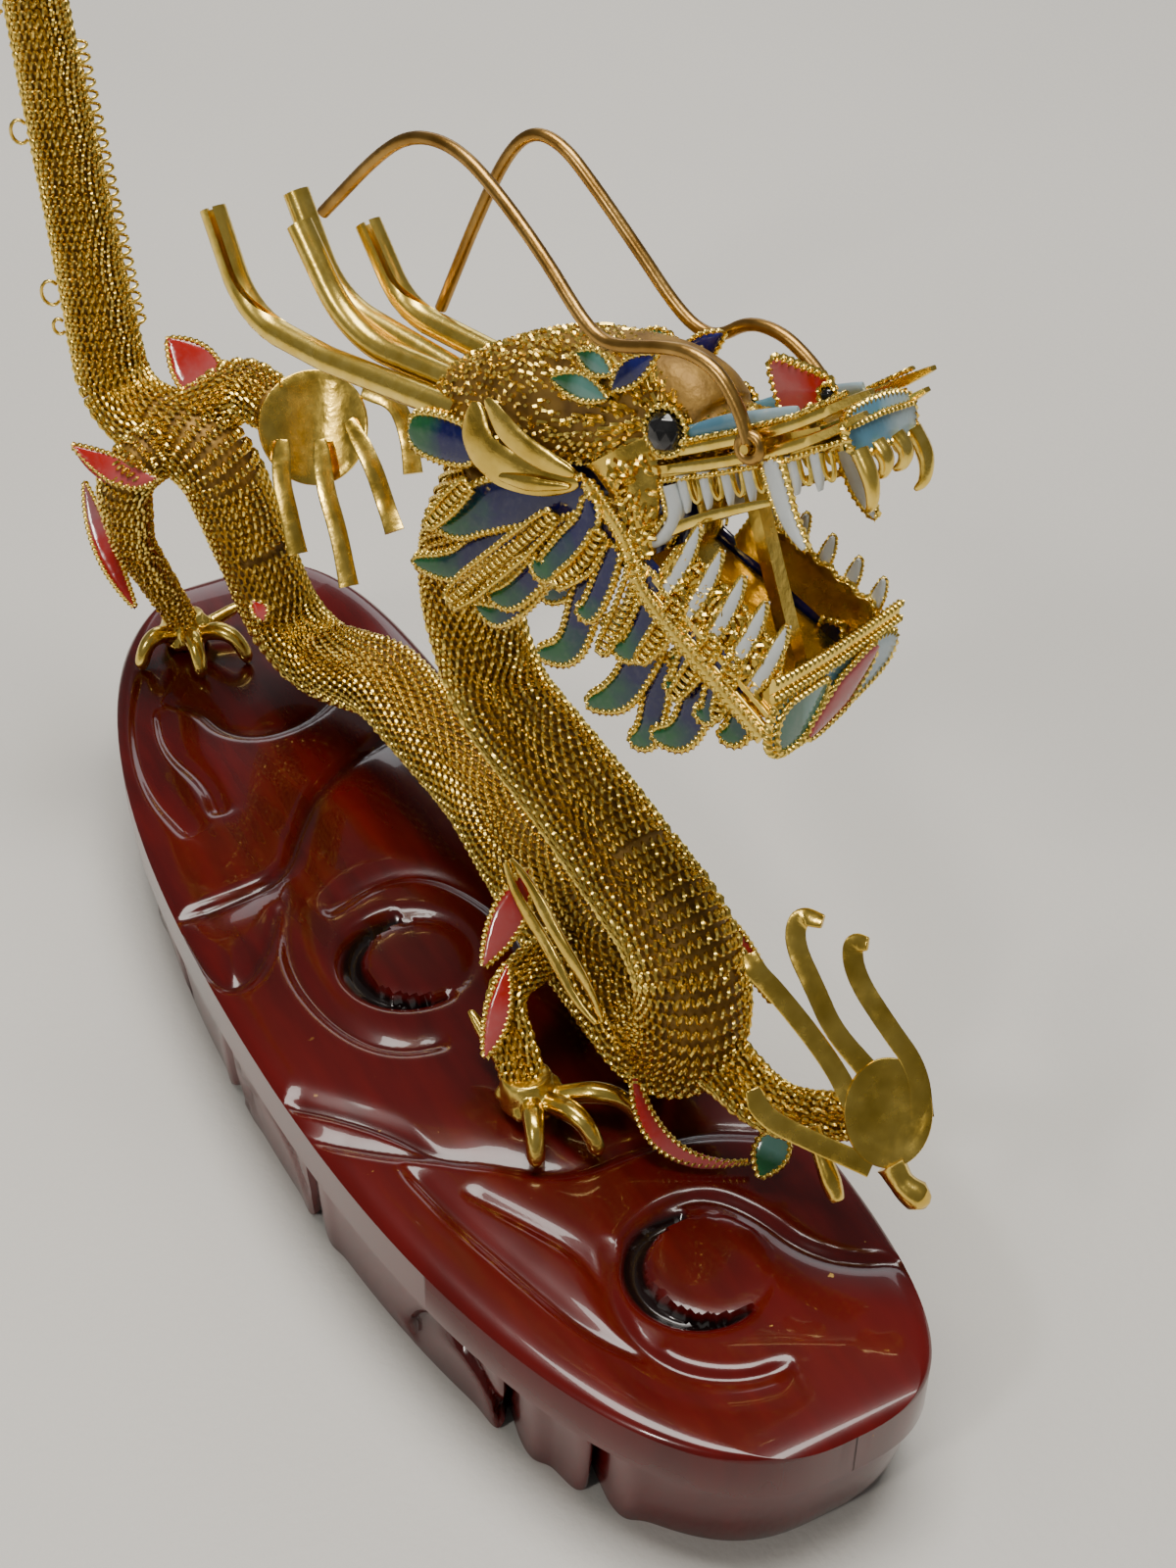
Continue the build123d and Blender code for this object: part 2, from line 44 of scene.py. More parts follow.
bpy.ops.object.select_all(action="DESELECT")
bpy.ops.object.camera_add(location=(0.1699, -0.0810, 0.1981))
camera = bpy.context.object
turn = Euler((pi / 2 - PITCH, 0, YAW)).to_matrix() @ Matrix.Rotation(ROLL, 3, "Z")
camera.rotation_euler = turn.to_euler()
camera.data.sensor_fit = "VERTICAL"
camera.data.sensor_height = 36
camera.data.lens = 54
camera.data.clip_start = 0.01
bpy.context.scene.camera = camera


def lamp(name, place, aim, size, watts, colour):
    """A soft rectangular light that points from its place to its aim."""
    data = bpy.data.lights.new(name, "AREA")
    data.shape = "RECTANGLE"
    data.size, data.size_y = size
    data.energy = watts
    data.color = colour
    light = bpy.data.objects.new(name, data)
    bpy.context.scene.collection.objects.link(light)
    light.location = place
    light.rotation_euler = (Vector(aim) - Vector(place)).to_track_quat("-Z", "Y").to_euler()


lamp("overhead_panel", (-0.1, 0.1, 1.4), (0, 0, 0), (0.9, 0.6), 24, (1.0, 0.96, 0.9))
lamp("back_panel", (-1.3, 0.75, 0.72), (0, 0, 0.05), (1.1, 0.5), 3.6, (0.95, 0.97, 1.0))
lamp("side_lamp", (0.35, -0.9, 0.8), (0, 0, 0.05), (0.12, 0.12), 3.5, (1.0, 0.95, 0.88))

room = bpy.data.worlds.new("room")
room.use_nodes = True
room.node_tree.nodes["Background"].inputs["Color"].default_value = (0.80, 0.79, 0.76, 1)
room.node_tree.nodes["Background"].inputs["Strength"].default_value = 0.2
bpy.context.scene.world = room

bpy.ops.mesh.primitive_plane_add(size=6, location=(0, 0, 0))
table = bpy.context.object
table.name = "table_top"


# Stand. A bowed oval of softwood, with a flat slab on a lobed skirt, carved with rolling
# clouds and two round bosses and lacquered oxblood, its grooves darkened with painted shade.
class Socket:
    """One value in a material. A sum written on it adds the nodes that work it out."""

    def __init__(self, tree, socket=None):
        self.tree, self.socket = tree, socket

    def feed(self, target, value):
        """Puts a value, or a link from another socket, into a node's socket."""
        if isinstance(value, Socket):
            self.tree.links.new(value.socket, target)
        elif target.type == "RGBA":
            target.default_value = (*value, 1)
        else:
            target.default_value = value

    def node(self, kind, settings={}, inputs={}, output=0):
        """Adds a node, sets it up, feeds its sockets and gives one of its outputs."""
        made = self.tree.nodes.new("ShaderNode" + kind)
        for name, value in settings.items():
            if name == "stops":
                ramp = made.color_ramp.elements
                while len(ramp) < len(value):
                    ramp.new(0.5)
                for stop, (place, colour) in zip(ramp, value):
                    stop.position = place
                    stop.color = (*colour, 1)
            else:
                setattr(made, name, value)
        for name, value in inputs.items():
            self.feed(made.inputs[name], value)
        return Socket(self.tree, made.outputs[output])

    def sum(self, operation, first, second):
        return self.node("Math", {"operation": operation}, {0: first, 1: second})

    def __add__(self, other):
        return self.sum("ADD", self, other)

    def __mul__(self, other):
        return self.sum("MULTIPLY", self, other)

    def __sub__(self, other):
        return self.sum("SUBTRACT", self, other)

    def __rsub__(self, other):
        return self.sum("SUBTRACT", other, self)

    def __pow__(self, other):
        return self.sum("POWER", self, other)

    __radd__, __rmul__ = __add__, __mul__

    def mix(self, first, second):
        """A colour between two, by this value's share."""
        return self.node("Mix", {"data_type": "RGBA"}, {0: self, 6: first, 7: second}, 2)

    def between(self, low, high):
        """This value, spread so that low gives 0 and high gives 1."""
        return self.node("MapRange", {}, {0: self, 1: low, 2: high})


def finish(name, shade, **constants):
    """A material. shade gives the inputs that vary over it, and the constants are the rest."""
    made = bpy.data.materials.new(name)
    made.use_nodes = True
    start = Socket(made.node_tree)
    shader = made.node_tree.nodes["Principled BSDF"]
    for key, value in constants.items():
        start.feed(shader.inputs[key.replace("_", " ")], value)
    for key, value in shade(start).items():
        start.feed(shader.inputs[key], value)
    return made


def noise(start, scale, detail=3.0, stretch=(1, 1, 1)):
    """Cloudy noise over the object's own coordinates, in blotches about 1/scale of a metre."""
    place = start.node("TexCoord", output="Object")
    shaped = start.node("Mapping", {}, {"Vector": place, "Scale": stretch})
    return start.node("TexNoise", {}, {"Vector": shaped, "Scale": scale, "Detail": detail})


def bump(start, height, distance, strength=1.0):
    return start.node("Bump", {}, {"Height": height, "Distance": distance, "Strength": strength})


def plaster(start):
    tone = noise(start, 5).between(0.3, 0.7)
    return {
        "Base Color": tone.mix((0.60, 0.585, 0.55), (0.66, 0.645, 0.61)),
        "Normal": bump(start, noise(start, 900), 0.0001),
    }


table.data.materials.append(finish("pale_table", plaster, Roughness=0.6))

STAND_LENGTH, STAND_WIDTH, STAND_BOW, STAND_SQUARENESS = 150.0, 45.0, 7.5, 2.9
SKIRT_HEIGHT, STAND_TOP = 12.0, 18.0
BOSSES = ((52.5, -2.0), (2.0, -8.5))
BOSS_RADIUS = 6.0
# each groove's route, the depth of its cut, and how far its gentle side reaches
GROOVES = (
    (((68, 19), (61, 15), (59, 10), (55, 6.5), (49.5, 5), (45, 2), (44.5, -3), (46.5, -8)), 1.3, 6),
    (((66, -1), (65.5, -6), (62, -11), (56.5, -13), (50, -12), (46, -8)), 1.0, 3.5),
    (((27, -22.5), (36, -21), (45, -18.5), (54, -16), (60, -12)), 1.1, 4),
    (((33, -19), (40, -15), (46, -12), (52, -12.5)), 0.8, 3),
    (((-34.5, 12), (-34.5, 4.5), (-30, -6), (-23.5, -11.5), (-17, -16), (-16, -23), (-16, -31)), 1.5, 6),
    (((-16, -30), (-8, -30), (-2, -28), (-7, -22), (-14, -18)), 1.3, 3),
    (((-24, -12), (-14, -17), (-4, -21.5), (6, -21), (13, -17.5), (15, -11)), 1.1, 4),
    (((-9, -15), (-11.5, -8), (-10, -2), (-4, 1.5), (4, 3), (12, 0)), 1.0, 4),
    (((14, -30), (18, -26), (23, -21.8), (28.5, -19), (31, -15)), 1.4, 3),
    (((18, -31), (25, -24), (31, -15), (36.5, -9), (36.5, 0), (38, 7), (43, 14)), 1.3, 6),
    (((-53, -17), (-50, -13.5), (-44, -12.5), (-41, -8), (-42, -1), (-48, 6)), 1.4, 5),
    (((-60, -17), (-50, -22), (-38, -24.5), (-28, -23)), 0.9, 3),
    (((-52, -18), (-44, -20), (-36, -18), (-30, -19)), 0.8, 2.5),
    (((-64, 6), (-56, 10), (-48, 8), (-40, 11), (-30, 9)), 1.0, 4),
    (((-14, 13), (-4, 9), (6, 12), (16, 9), (26, 12), (32, 18)), 1.1, 4),
)


def smooth(points, closed=False, rounds=4):
    """A route rounded off, by cutting its corners over and over."""
    line = np.asarray(points, float)
    for _ in range(rounds):
        start, end = (line, np.roll(line, -1, 0)) if closed else (line[:-1], line[1:])
        cut = np.stack([start * 0.75 + end * 0.25, start * 0.25 + end * 0.75], 1)
        cut = cut.reshape(-1, line.shape[1])
        line = cut if closed else np.vstack([line[:1], cut, line[-1:]])
    return line


def groove(x, y, route, depth, reach):
    """How deep one groove is at each place: steep on one side and gentle on the other."""
    line = smooth(route, rounds=3)
    start, way = line[:-1], np.diff(line, axis=0)
    off = np.stack([x, y], -1)[:, None] - start
    share = np.clip((off * way).sum(-1) / (way**2).sum(-1), 0, 1)
    gap = off - share[..., None] * way
    rows = np.arange(len(x))
    nearest = np.hypot(gap[..., 0], gap[..., 1]).argmin(1)
    far = np.hypot(*gap[rows, nearest].T)
    near_way, near_off = way[nearest], off[rows, nearest]
    left = near_way[:, 0] * near_off[:, 1] - near_way[:, 1] * near_off[:, 0] > 0
    along = (nearest + share[rows, nearest]) / len(way)
    fade = np.clip(np.sin(pi * np.clip(along, 0.01, 0.99)) * 2.2, 0, 1)
    steep = np.exp(-((far / 0.8) ** 2))
    gentle = np.exp(-((far / (reach * 0.62)) ** 1.5)) * 0.8 + 0.2 * steep
    return 0.65 * depth * fade * np.where(left, gentle, steep)


def carving(x, y):
    """How deep the carving is at each place on the stand's top, in millimetres."""
    deep = np.max([groove(x, y, *cut) for cut in GROOVES], axis=0)
    for boss_x, boss_y in BOSSES:
        away = np.hypot(x - boss_x, y - boss_y)
        ring = np.hypot(x - boss_x + 0.5, y - boss_y + 1.2) - BOSS_RADIUS
        moat = np.exp(-((ring / 1.25) ** 2)) * 1.9 * (0.35 + 0.65 * (y < boss_y + 1))
        deep = np.where(away < BOSS_RADIUS, 0.25 * (away / BOSS_RADIUS) ** 6, np.maximum(deep, moat))
    for foot_x, foot_y in ((27, -8), (-62.5, -10)):
        deep *= 1 - 0.9 * np.exp(-(((x - foot_x) ** 2 + (y - foot_y) ** 2) / 6.0**2) ** 2)
    return deep


def half_width(share, width):
    """Half the stand's width at a share of the way from its middle to its end."""
    return width / 2 * (1 - np.abs(share) ** STAND_SQUARENESS).clip(0) ** (1 / STAND_SQUARENESS)


bpy.ops.object.select_all(action="DESELECT")
bpy.ops.mesh.primitive_grid_add(x_subdivisions=420, y_subdivisions=150, size=2)
slab = bpy.context.object
slab.name = "carved_slab"
grid = np.array([v.co for v in slab.data.vertices])
share = np.sin(grid[:, 0] * pi / 2)
across = np.sin(grid[:, 1] * pi / 2 * 0.96) / sin(pi / 2 * 0.96)
x = share * STAND_LENGTH / 2
y = across * half_width(share, STAND_WIDTH) - STAND_BOW * (1 - share**2)
deep = carving(x, y)
rim = 1 - np.maximum(np.abs(across), np.abs(share) ** 3)
rolled = 0.8 * np.exp(-rim * 22)
top = np.stack([x, y, STAND_TOP - deep * (1 - np.exp(-rim * 40)) - rolled], -1) * MM
slab.data.vertices.foreach_set("co", top.ravel())
# the carving's depth, which the lacquer turns into painted shade in the grooves
slab.data.attributes.new("carved", "FLOAT", "POINT").data.foreach_set("value", deep)
bpy.ops.object.mode_set(mode="EDIT")
bpy.ops.mesh.select_all(action="SELECT")
bpy.ops.mesh.remove_doubles(threshold=0.00001)
bpy.ops.mesh.select_all(action="DESELECT")
bpy.ops.mesh.select_non_manifold(extend=False)
bpy.ops.mesh.extrude_edges_move(TRANSFORM_OT_translate={"value": (0, 0, -5 * MM)})
bpy.ops.transform.resize(value=(1, 1, 0), center_override=(0, 0, SKIRT_HEIGHT * MM))
bpy.ops.mesh.edge_face_add()
bpy.ops.mesh.select_all(action="SELECT")
bpy.ops.mesh.normals_make_consistent(inside=False)
bpy.ops.object.mode_set(mode="OBJECT")
bpy.ops.object.shade_smooth_by_angle(angle=radians(50))


def lacquer(start):
    wear_and_groove_shade = start.node("Attribute", {"attribute_name": "carved"}, output="Fac")
    grain = noise(start, 60, 5, (1, 6, 1))
    cloud = noise(start, 25, 3)
    wood = grain.between(0.35, 0.7).mix((0.045, 0.0012, 0.0012), (0.090, 0.0024, 0.0022))
    tone = (cloud.between(0.4, 0.75) * 0.5).mix(wood, (0.14, 0.004, 0.003))
    # the colour darkens towards near black with the carving's depth: painted shade in the grooves
    shaded_in_grooves = (wear_and_groove_shade.between(0.55, 1.25) * 0.96).mix(tone, (0.004, 0.0025, 0.0025))
    gilt = (noise(start, 420, 6).between(0.715, 0.73) * noise(start, 30, 1).between(0.6, 0.68))
    return {
        "Base Color": gilt.mix(shaded_in_grooves, (0.65, 0.38, 0.08)),
        "Roughness": cloud.between(0, 1) * 0.1 + 0.16,
        "Normal": bump(start, noise(start, 70, 2) + grain * 0.1, 0.00025, 0.4),
    }


lacquered = finish("oxblood_lacquer", lacquer, Coat_Weight=0.5, Coat_Roughness=0.03, IOR=1.35)
slab.data.materials.append(lacquered)
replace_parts(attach(slab, "stand"), "stand_slab")

# the skirt: a wall of lobes with an arched notch between each two, open scrolls cut in its side
SKIRT_INSET = 1.0
NOTCHES = (-58, -38, -4, 17.5, 51, 61)
SCROLLS = (
    (((36, 1.5), (38.5, 7), (43.5, 9.4), (48.5, 6), (50.5, 0)), 1.3, 2.5),
    (((-36, 1.5), (-33, 7), (-28, 9), (-23.5, 5), (-22.5, 0)), 1.2, 2.5),
    (((-2, 0), (1, 6.5), (6, 9), (12, 8.2), (15.5, 3)), 0.9, 2.5),
)
bpy.ops.object.select_all(action="DESELECT")
bpy.ops.mesh.primitive_grid_add(x_subdivisions=900, y_subdivisions=22, size=2)
skirt = bpy.context.object
skirt.name = "lobed_skirt"
grid = np.array([v.co for v in skirt.data.vertices])
turn, height = grid[:, 0] * pi, (grid[:, 1] + 1) / 2
ways = np.stack([np.cos(turn), np.sin(turn)], -1)
half = np.array([STAND_LENGTH, STAND_WIDTH]) / 2 - SKIRT_INSET
x, y = (half * np.sign(ways) * np.abs(ways) ** (2 / STAND_SQUARENESS)).T
gap = np.min([np.abs(x - notch) for notch in NOTCHES], axis=0)
inward = 1.0 * np.exp(-((gap / 0.6) ** 2)) - 0.35 * np.exp(-(((gap - 2.4) / 1.8) ** 2))
inward += 0.6 * (1 - height) ** 2
z = height * SKIRT_HEIGHT
for scroll in SCROLLS:
    inward += groove(x, z, *scroll)
arch = 1.9 * np.exp(-((gap / 1.4) ** 2))
z = arch + (SKIRT_HEIGHT - arch) * height
shrink = 1 - inward / np.hypot(x * 0.25, y).clip(12)
# the inward depth, which the lacquer turns into painted shade in the notches and scrolls and towards the skirt's foot
skirt.data.attributes.new("carved", "FLOAT", "POINT").data.foreach_set("value", inward)
y = y * shrink - STAND_BOW * (1 - (x / half[0]) ** 2)
skirt.data.vertices.foreach_set("co", (np.stack([x * shrink, y, z], -1) * MM).ravel())
bpy.ops.object.mode_set(mode="EDIT")
bpy.ops.mesh.select_all(action="SELECT")
bpy.ops.mesh.remove_doubles(threshold=0.00002)
bpy.ops.mesh.select_all(action="DESELECT")
bpy.ops.mesh.select_non_manifold(extend=False)
bpy.ops.mesh.edge_face_add()
bpy.ops.mesh.select_all(action="SELECT")
bpy.ops.mesh.normals_make_consistent(inside=False)
bpy.ops.object.mode_set(mode="OBJECT")
bpy.ops.object.shade_smooth_by_angle(angle=radians(50))
skirt.data.materials.append(lacquered)
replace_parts(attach(skirt, "stand"), "stand_skirt")

# Body. Springs of fine gilt wire are wound on row by row and tied, and make one long hollow
# tube: a tapering tail, the haunches, a loop of belly, the breast and the neck.
HEAD_ORIGIN = np.array([7.2, 2, 85.8])


def unit(vectors):
    return vectors / np.linalg.norm(vectors, axis=-1, keepdims=True)


HEAD_ON = unit(np.array([0.765, 0.441, 0.469]))  # along the snout
HEAD_UP = np.array([-0.522, -0.002, 0.853])
HEAD_UP = unit(HEAD_UP - HEAD_ON * (HEAD_UP @ HEAD_ON))
HEAD_LEFT = np.cross(HEAD_UP, HEAD_ON)


def on_head(points):
    """Places given forward, left and up from the middle of the head, in the stand's frame."""
    points = np.asarray(points, float)
    return HEAD_ORIGIN + points @ np.array([HEAD_ON, HEAD_LEFT, HEAD_UP])


def evenly(line, step, closed=False):
    """A line's points, spread again at even steps."""
    if closed:
        line = np.vstack([line, line[:1]])
    length = np.r_[0, np.cumsum(np.linalg.norm(np.diff(line, axis=0), axis=1))]
    count = max(3, round(length[-1] / step))
    at = np.linspace(0, length[-1], count + 1)[: count if closed else None]
    return np.stack([np.interp(at, length, column) for column in line.T], -1)


def rounded(corners, step=0.25):
    """Straight runs joined by arcs, from corners that are each a place and a radius."""
    places = [np.array(place, float) for place, _ in corners]
    line = [places[0]]
    for before, (_, radius), place, after in zip(places, corners[1:], places[1:], places[2:]):
        back, on = unit(before - place), unit(after - place)
        half = np.arccos(back @ on) / 2
        centre = place + unit(back + on) * radius / sin(half)
        start, end = (place + way * radius / np.tan(half) for way in (back, on))
        chord = start + (end - start) * np.linspace(0, 1, 24)[:, None]
        line.extend(centre + unit(chord - centre) * radius)
    return evenly(np.array(line + [places[-1]]), step)


def frames(line, up=(0, 0, 1)):
    """The way along a line, and two ways across it that turn no more than the line does."""
    along = unit(np.gradient(line, axis=0))
    side = np.empty_like(line)
    side[0] = unit(np.cross(along[0], up))
    for k in range(1, len(line)):
        side[k] = unit(side[k - 1] - along[k] * (side[k - 1] @ along[k]))
    return along, side, np.cross(along, side)


def sweep(line, up, section, closed=False, lid=None):
    """Points and faces of a section drawn along a line, its y towards up. The section may change.
    lid gives the faces that close an end, where the section isn't a plain convex one."""
    ends = np.vstack([line[-1:], line, line[:1]]) if closed else line
    along = np.gradient(ends, axis=0)
    along = unit(along[1:-1] if closed else along)
    side = unit(np.cross(along, up))
    up = np.cross(side, along)
    section = np.broadcast_to(section, (len(line), *section.shape[-2:]))
    points = line[:, None] + side[:, None] * section[..., :1] + up[:, None] * section[..., 1:]
    rings, sides = points.shape[:2]
    ring = np.arange(rings if closed else rings - 1)[:, None]
    near, far = ring * sides, (ring + 1) % rings * sides
    at, after = np.arange(sides), np.roll(np.arange(sides), -1)
    faces = np.stack([near + at, near + after, far + after, far + at], -1).reshape(-1, 4)
    if not closed:
        if lid is None:
            lid = np.array([(0, k + 2, k + 1, k) for k in range(1, sides - 2, 2)])
        faces = np.vstack([faces, lid, lid[:, ::-1] + (rings - 1) * sides])
    return points.reshape(-1, 3), faces


def circle(radius, sides=8):
    turn = np.arange(sides) * tau / sides
    return np.stack([radius * np.cos(turn), radius * np.sin(turn)], -1)


def together(shapes):
    """Several shapes as one."""
    sizes = np.cumsum([0] + [len(points) for points, _ in shapes])
    faces = [faces + size for (_, faces), size in zip(shapes, sizes)]
    return np.vstack([points for points, _ in shapes]), np.vstack(faces)


def piece(name, shape, material, slot, nodes=(), body="dragon", angle=60, **attributes):
    """A finished piece from points in millimetres and four-cornered faces."""
    points, faces = shape
    mesh = bpy.data.meshes.new(name)
    mesh.vertices.add(len(points))
    mesh.vertices.foreach_set("co", (points * MM).ravel())
    mesh.loops.add(faces.size)
    mesh.loops.foreach_set("vertex_index", faces.ravel())
    mesh.polygons.add(len(faces))
    mesh.polygons.foreach_set("loop_start", np.arange(0, faces.size, 4))
    mesh.update(calc_edges=True)
    mesh.validate()
    for key, values in attributes.items():
        mesh.attributes.new(key, "FLOAT", "POINT").data.foreach_set("value", values)
    made = bpy.data.objects.new(name, mesh)
    bpy.context.scene.collection.objects.link(made)
    bpy.ops.object.select_all(action="DESELECT")
    made.select_set(True)
    bpy.context.view_layer.objects.active = made
    bpy.ops.object.shade_smooth_by_angle(angle=radians(angle))
    mesh.materials.append(material)
    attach(made, body)
    if nodes:
        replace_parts(made, *nodes)
    return made


def springs(line, radius, row, stroke, wire, depth, loose=0.03):
    """A spring of wire wound in rows round a line: row apart, with a stroke for every loop."""
    along, side, up = frames(line)
    length = np.r_[0, np.cumsum(np.linalg.norm(np.diff(line, axis=0), axis=1))]
    loops = np.r_[0, np.cumsum(tau * radius[:-1] / (row * stroke) * np.diff(length))]
    count = int(loops[-1] * 6)
    at = np.interp(np.arange(count) / 6, loops, length)
    spread = lambda values: np.stack([np.interp(at, length, v) for v in values.T], -1)
    turn, loop = tau * at / row, tau * np.arange(count) / 6
    out = spread(side) * np.cos(turn)[:, None] + spread(up) * np.sin(turn)[:, None]
    slack = np.repeat(chance.normal(0, loose, (count // 6 + 1, 2)), 6, 0)[:count]
    rise = np.interp(at, length, radius) - depth - wire + depth * np.cos(loop) + slack[:, 0]
    slide = row * 0.5 * np.sin(loop) + slack[:, 1]
    ahead = spread(along)
    centre = spread(line) + out * rise[:, None] + ahead * slide[:, None]
    return sweep(centre, np.cross(ahead, out), circle(wire, 4))


chance = np.random.default_rng(7)
BODY_CORNERS = (
    ((-72, -12.5, 124), 0), ((-78, -13.5, 104), 25), ((-66.5, -13.5, 52), 6.3),
    ((-53, -7, 51), 6.3), ((-47.5, -1, 23.5), 7.5), ((-31, 3.5, 29), 12), ((-10, 5.5, 27), 40),
    ((10.4, 4, 25.8), 40), ((44, 4.5, 25.5), 8), ((33, 5.5, 41), 12), ((16, 3.4, 47), 30),
    ((2, 1.5, 51), 9), ((-4.5, 0.8, 63), 14), (on_head((-2.6, 0, -3.4)), 0),
)
body_line = rounded(BODY_CORNERS)


def nearest(place):
    return int(np.linalg.norm(body_line - np.asarray(place, float), axis=1).argmin())


GIRTHS = (
    ((-72, -12.5, 124), 3.4), ((-77, -13.5, 104), 3.5), ((-70, -13.5, 66), 4.1),
    ((-64, -12, 53), 4.6), ((-54.5, -7.5, 49.5), 5.1), ((-50, -3.5, 36), 4.7),
    ((-45, 0, 25), 4.9), ((-31, 3.5, 28), 5.0), ((-10, 5.5, 27), 4.9), ((20, 4, 25.8), 5.3),
    ((38, 4.5, 27), 5.8), ((33, 5.5, 38), 5.8), ((16, 3.4, 46), 5.3), ((2, 2, 52), 5.1),
    ((-4, 1, 62), 5.1), (on_head((-2.6, 0, -3.4)), 5.1),
)
girth = np.interp(np.arange(len(body_line)), [nearest(p) for p, _ in GIRTHS], [r for _, r in GIRTHS])


def gilding(start):
    tone = noise(start, 900, 2).between(0.3, 0.7).mix((0.78, 0.53, 0.085), (1.0, 0.76, 0.20))
    wear_and_groove_shade = noise(start, 70, 3).between(0.35, 0.7)
    return {
        "Base Color": (wear_and_groove_shade * 0.6).mix(tone, (0.92, 0.66, 0.13)),
        "Roughness": wear_and_groove_shade * 0.12 + 0.2,
        "Normal": bump(start, noise(start, 2500, 2), 0.00004, 0.4),
    }


wirework = finish("gilt_wire", gilding, Metallic=1.0)
# each length of the tube: its ends, its rows' and its strokes' spacing, its wire and its depth
LENGTHS = (
    ("tail", (-72, -12.5, 124), (-60, -10.2, 51.5), 1.05, 0.95, 0.19, 0.3),
    ("hip", (-60, -10.2, 51.5), (-50.5, -4.3, 38.6), 1.1, 1.0, 0.19, 0.3),
    ("torso", (-50.5, -4.3, 38.6), (10.4, 4, 25.8), 1.08, 1.05, 0.18, 0.3),
    ("chest", (10.4, 4, 25.8), (24.5, 4.4, 44), 1.1, 1.1, 0.18, 0.32),
    ("neck", (24.5, 4.4, 44), on_head((-2.6, 0, -3.4)), 1.1, 1.05, 0.19, 0.3),
)
for name, start, end, row, stroke, wire, depth in LENGTHS:
    part = slice(nearest(start), nearest(end) + 1)
    coils = springs(body_line[part], girth[part], row, stroke, wire, depth)
    piece(f"{name}_coils", coils, wirework, "gilt_wirework", [f"{name}_mesh"])


def shade_inside(start):
    # dark brown gold: painted shade for the inside of the hollow parts
    tone = noise(start, 400, 2).between(0.3, 0.7)
    return {
        "Base Color": tone.mix((0.16, 0.085, 0.018), (0.36, 0.21, 0.045)),
        "Normal": bump(start, noise(start, 1500, 2), 0.0001),
    }


# the tube's inner wall, a dark sheet of painted shade standing in for the shaded inside of the tube, which shows
# between the strokes
shade_lining = finish("painted_shade_inside", shade_inside, Metallic=0.6, Roughness=0.55)
wall = circle(1, 20) * (girth[::3] - 0.95)[:, None, None]
piece("inner_wall", sweep(body_line[::3], frames(body_line[::3])[2], wall), shade_lining, "gilt_wirework")


def helix(line, radius, pitch, wire, sides=5):
    """One open spring that runs along a line."""
    line = evenly(line, pitch / 10)
    _, side, up = frames(line)
    turn = np.arange(len(line))[:, None] * tau / 10
    return sweep(line + radius * (side * np.cos(turn) + up * np.sin(turn)), up + side * 0.3, circle(wire, sides))


# a crest: the comb of a springy wire that stands along the back of the tail
crest = slice(nearest((-76, -13.5, 93)), nearest((-68.5, -13.5, 61)))
ridge = body_line[crest] + np.array([0.485, 0.874, 0]) * (girth[crest] + 0.15)[:, None]
piece("tail_crest", helix(ridge, 0.85, 1.35, 0.2, 6), wirework, "gilt_wirework")
loops = []
for height, spread in ((112, 0.9), (97, 0.7), (83, 1.0), (64, 1.1), (60, 0.7)):
    middle = body_line[nearest((-74, -13.5, height))]
    edge = middle - np.array([0.485, 0.874, 0]) * (np.interp(height, (60, 112), (4.6, 3.7)) + spread * 0.5)
    turn = np.linspace(-2.4, 2.4, 12)
    bend = np.stack([-0.485 * np.cos(turn), -0.874 * np.cos(turn), np.sin(turn) * 1.4], -1) * spread
    loops.append(sweep(edge + bend, (0.665, -0.369, 0.649), circle(0.22, 6)))
piece("tail_loops", together(loops), wirework, "gilt_wirework")

# Flames. Flat leaves of coloured enamel, each in a rim of twisted wire and soldered to the body
# and the limbs. Enamel is ground glass, laid wet between the rims and melted till it is glossy.
FRONT = unit(np.array([0.665, -0.369, 0.649]))  # the way that the raised paws and most flames face
LEVEL = unit(np.array([0.485, 0.874, 0]))
PLATE = 0.8


class Sheet:
    """A flat place to draw on: its origin, its x and its y. Heights stand off it."""

    def __init__(self, origin, x, y, hand=1):
        self.origin, self.x, self.y = (np.asarray(v, float) for v in (origin, x, y))
        self.off = hand * np.cross(self.x, self.y)

    def at(self, points, rise=0.0):
        points = np.asarray(points, float)
        if points.shape[-1] == 3:
            rise = rise + points[..., 2:]
        return self.origin + points[..., :1] * self.x + points[..., 1:2] * self.y + rise * self.off


def facing(*origin):
    return Sheet(origin, LEVEL, np.cross(FRONT, LEVEL))


def glass(*colours, gloss=0.08):
    """An enamel that turns from one colour at a leaf's root to another at its tip."""
    def shade(start):
        reach = start.node("Attribute", {"attribute_name": "reach"}, output="Fac")
        cloudy = noise(start, 500, 4)
        share = (reach + (cloudy - 0.5) * 0.3).between(0.45, 0.7)
        tone = share.mix(colours[0], colours[-1])
        return {
            "Base Color": (noise(start, 1400, 3).between(0.5, 0.85) * 0.12).mix(tone, (0.26, 0.26, 0.24)),
            "Roughness": cloudy.between(0.3, 0.7) * 0.12 + gloss,
            "Normal": bump(start, noise(start, 450, 2), 0.00016, 0.5),
        }
    return shade


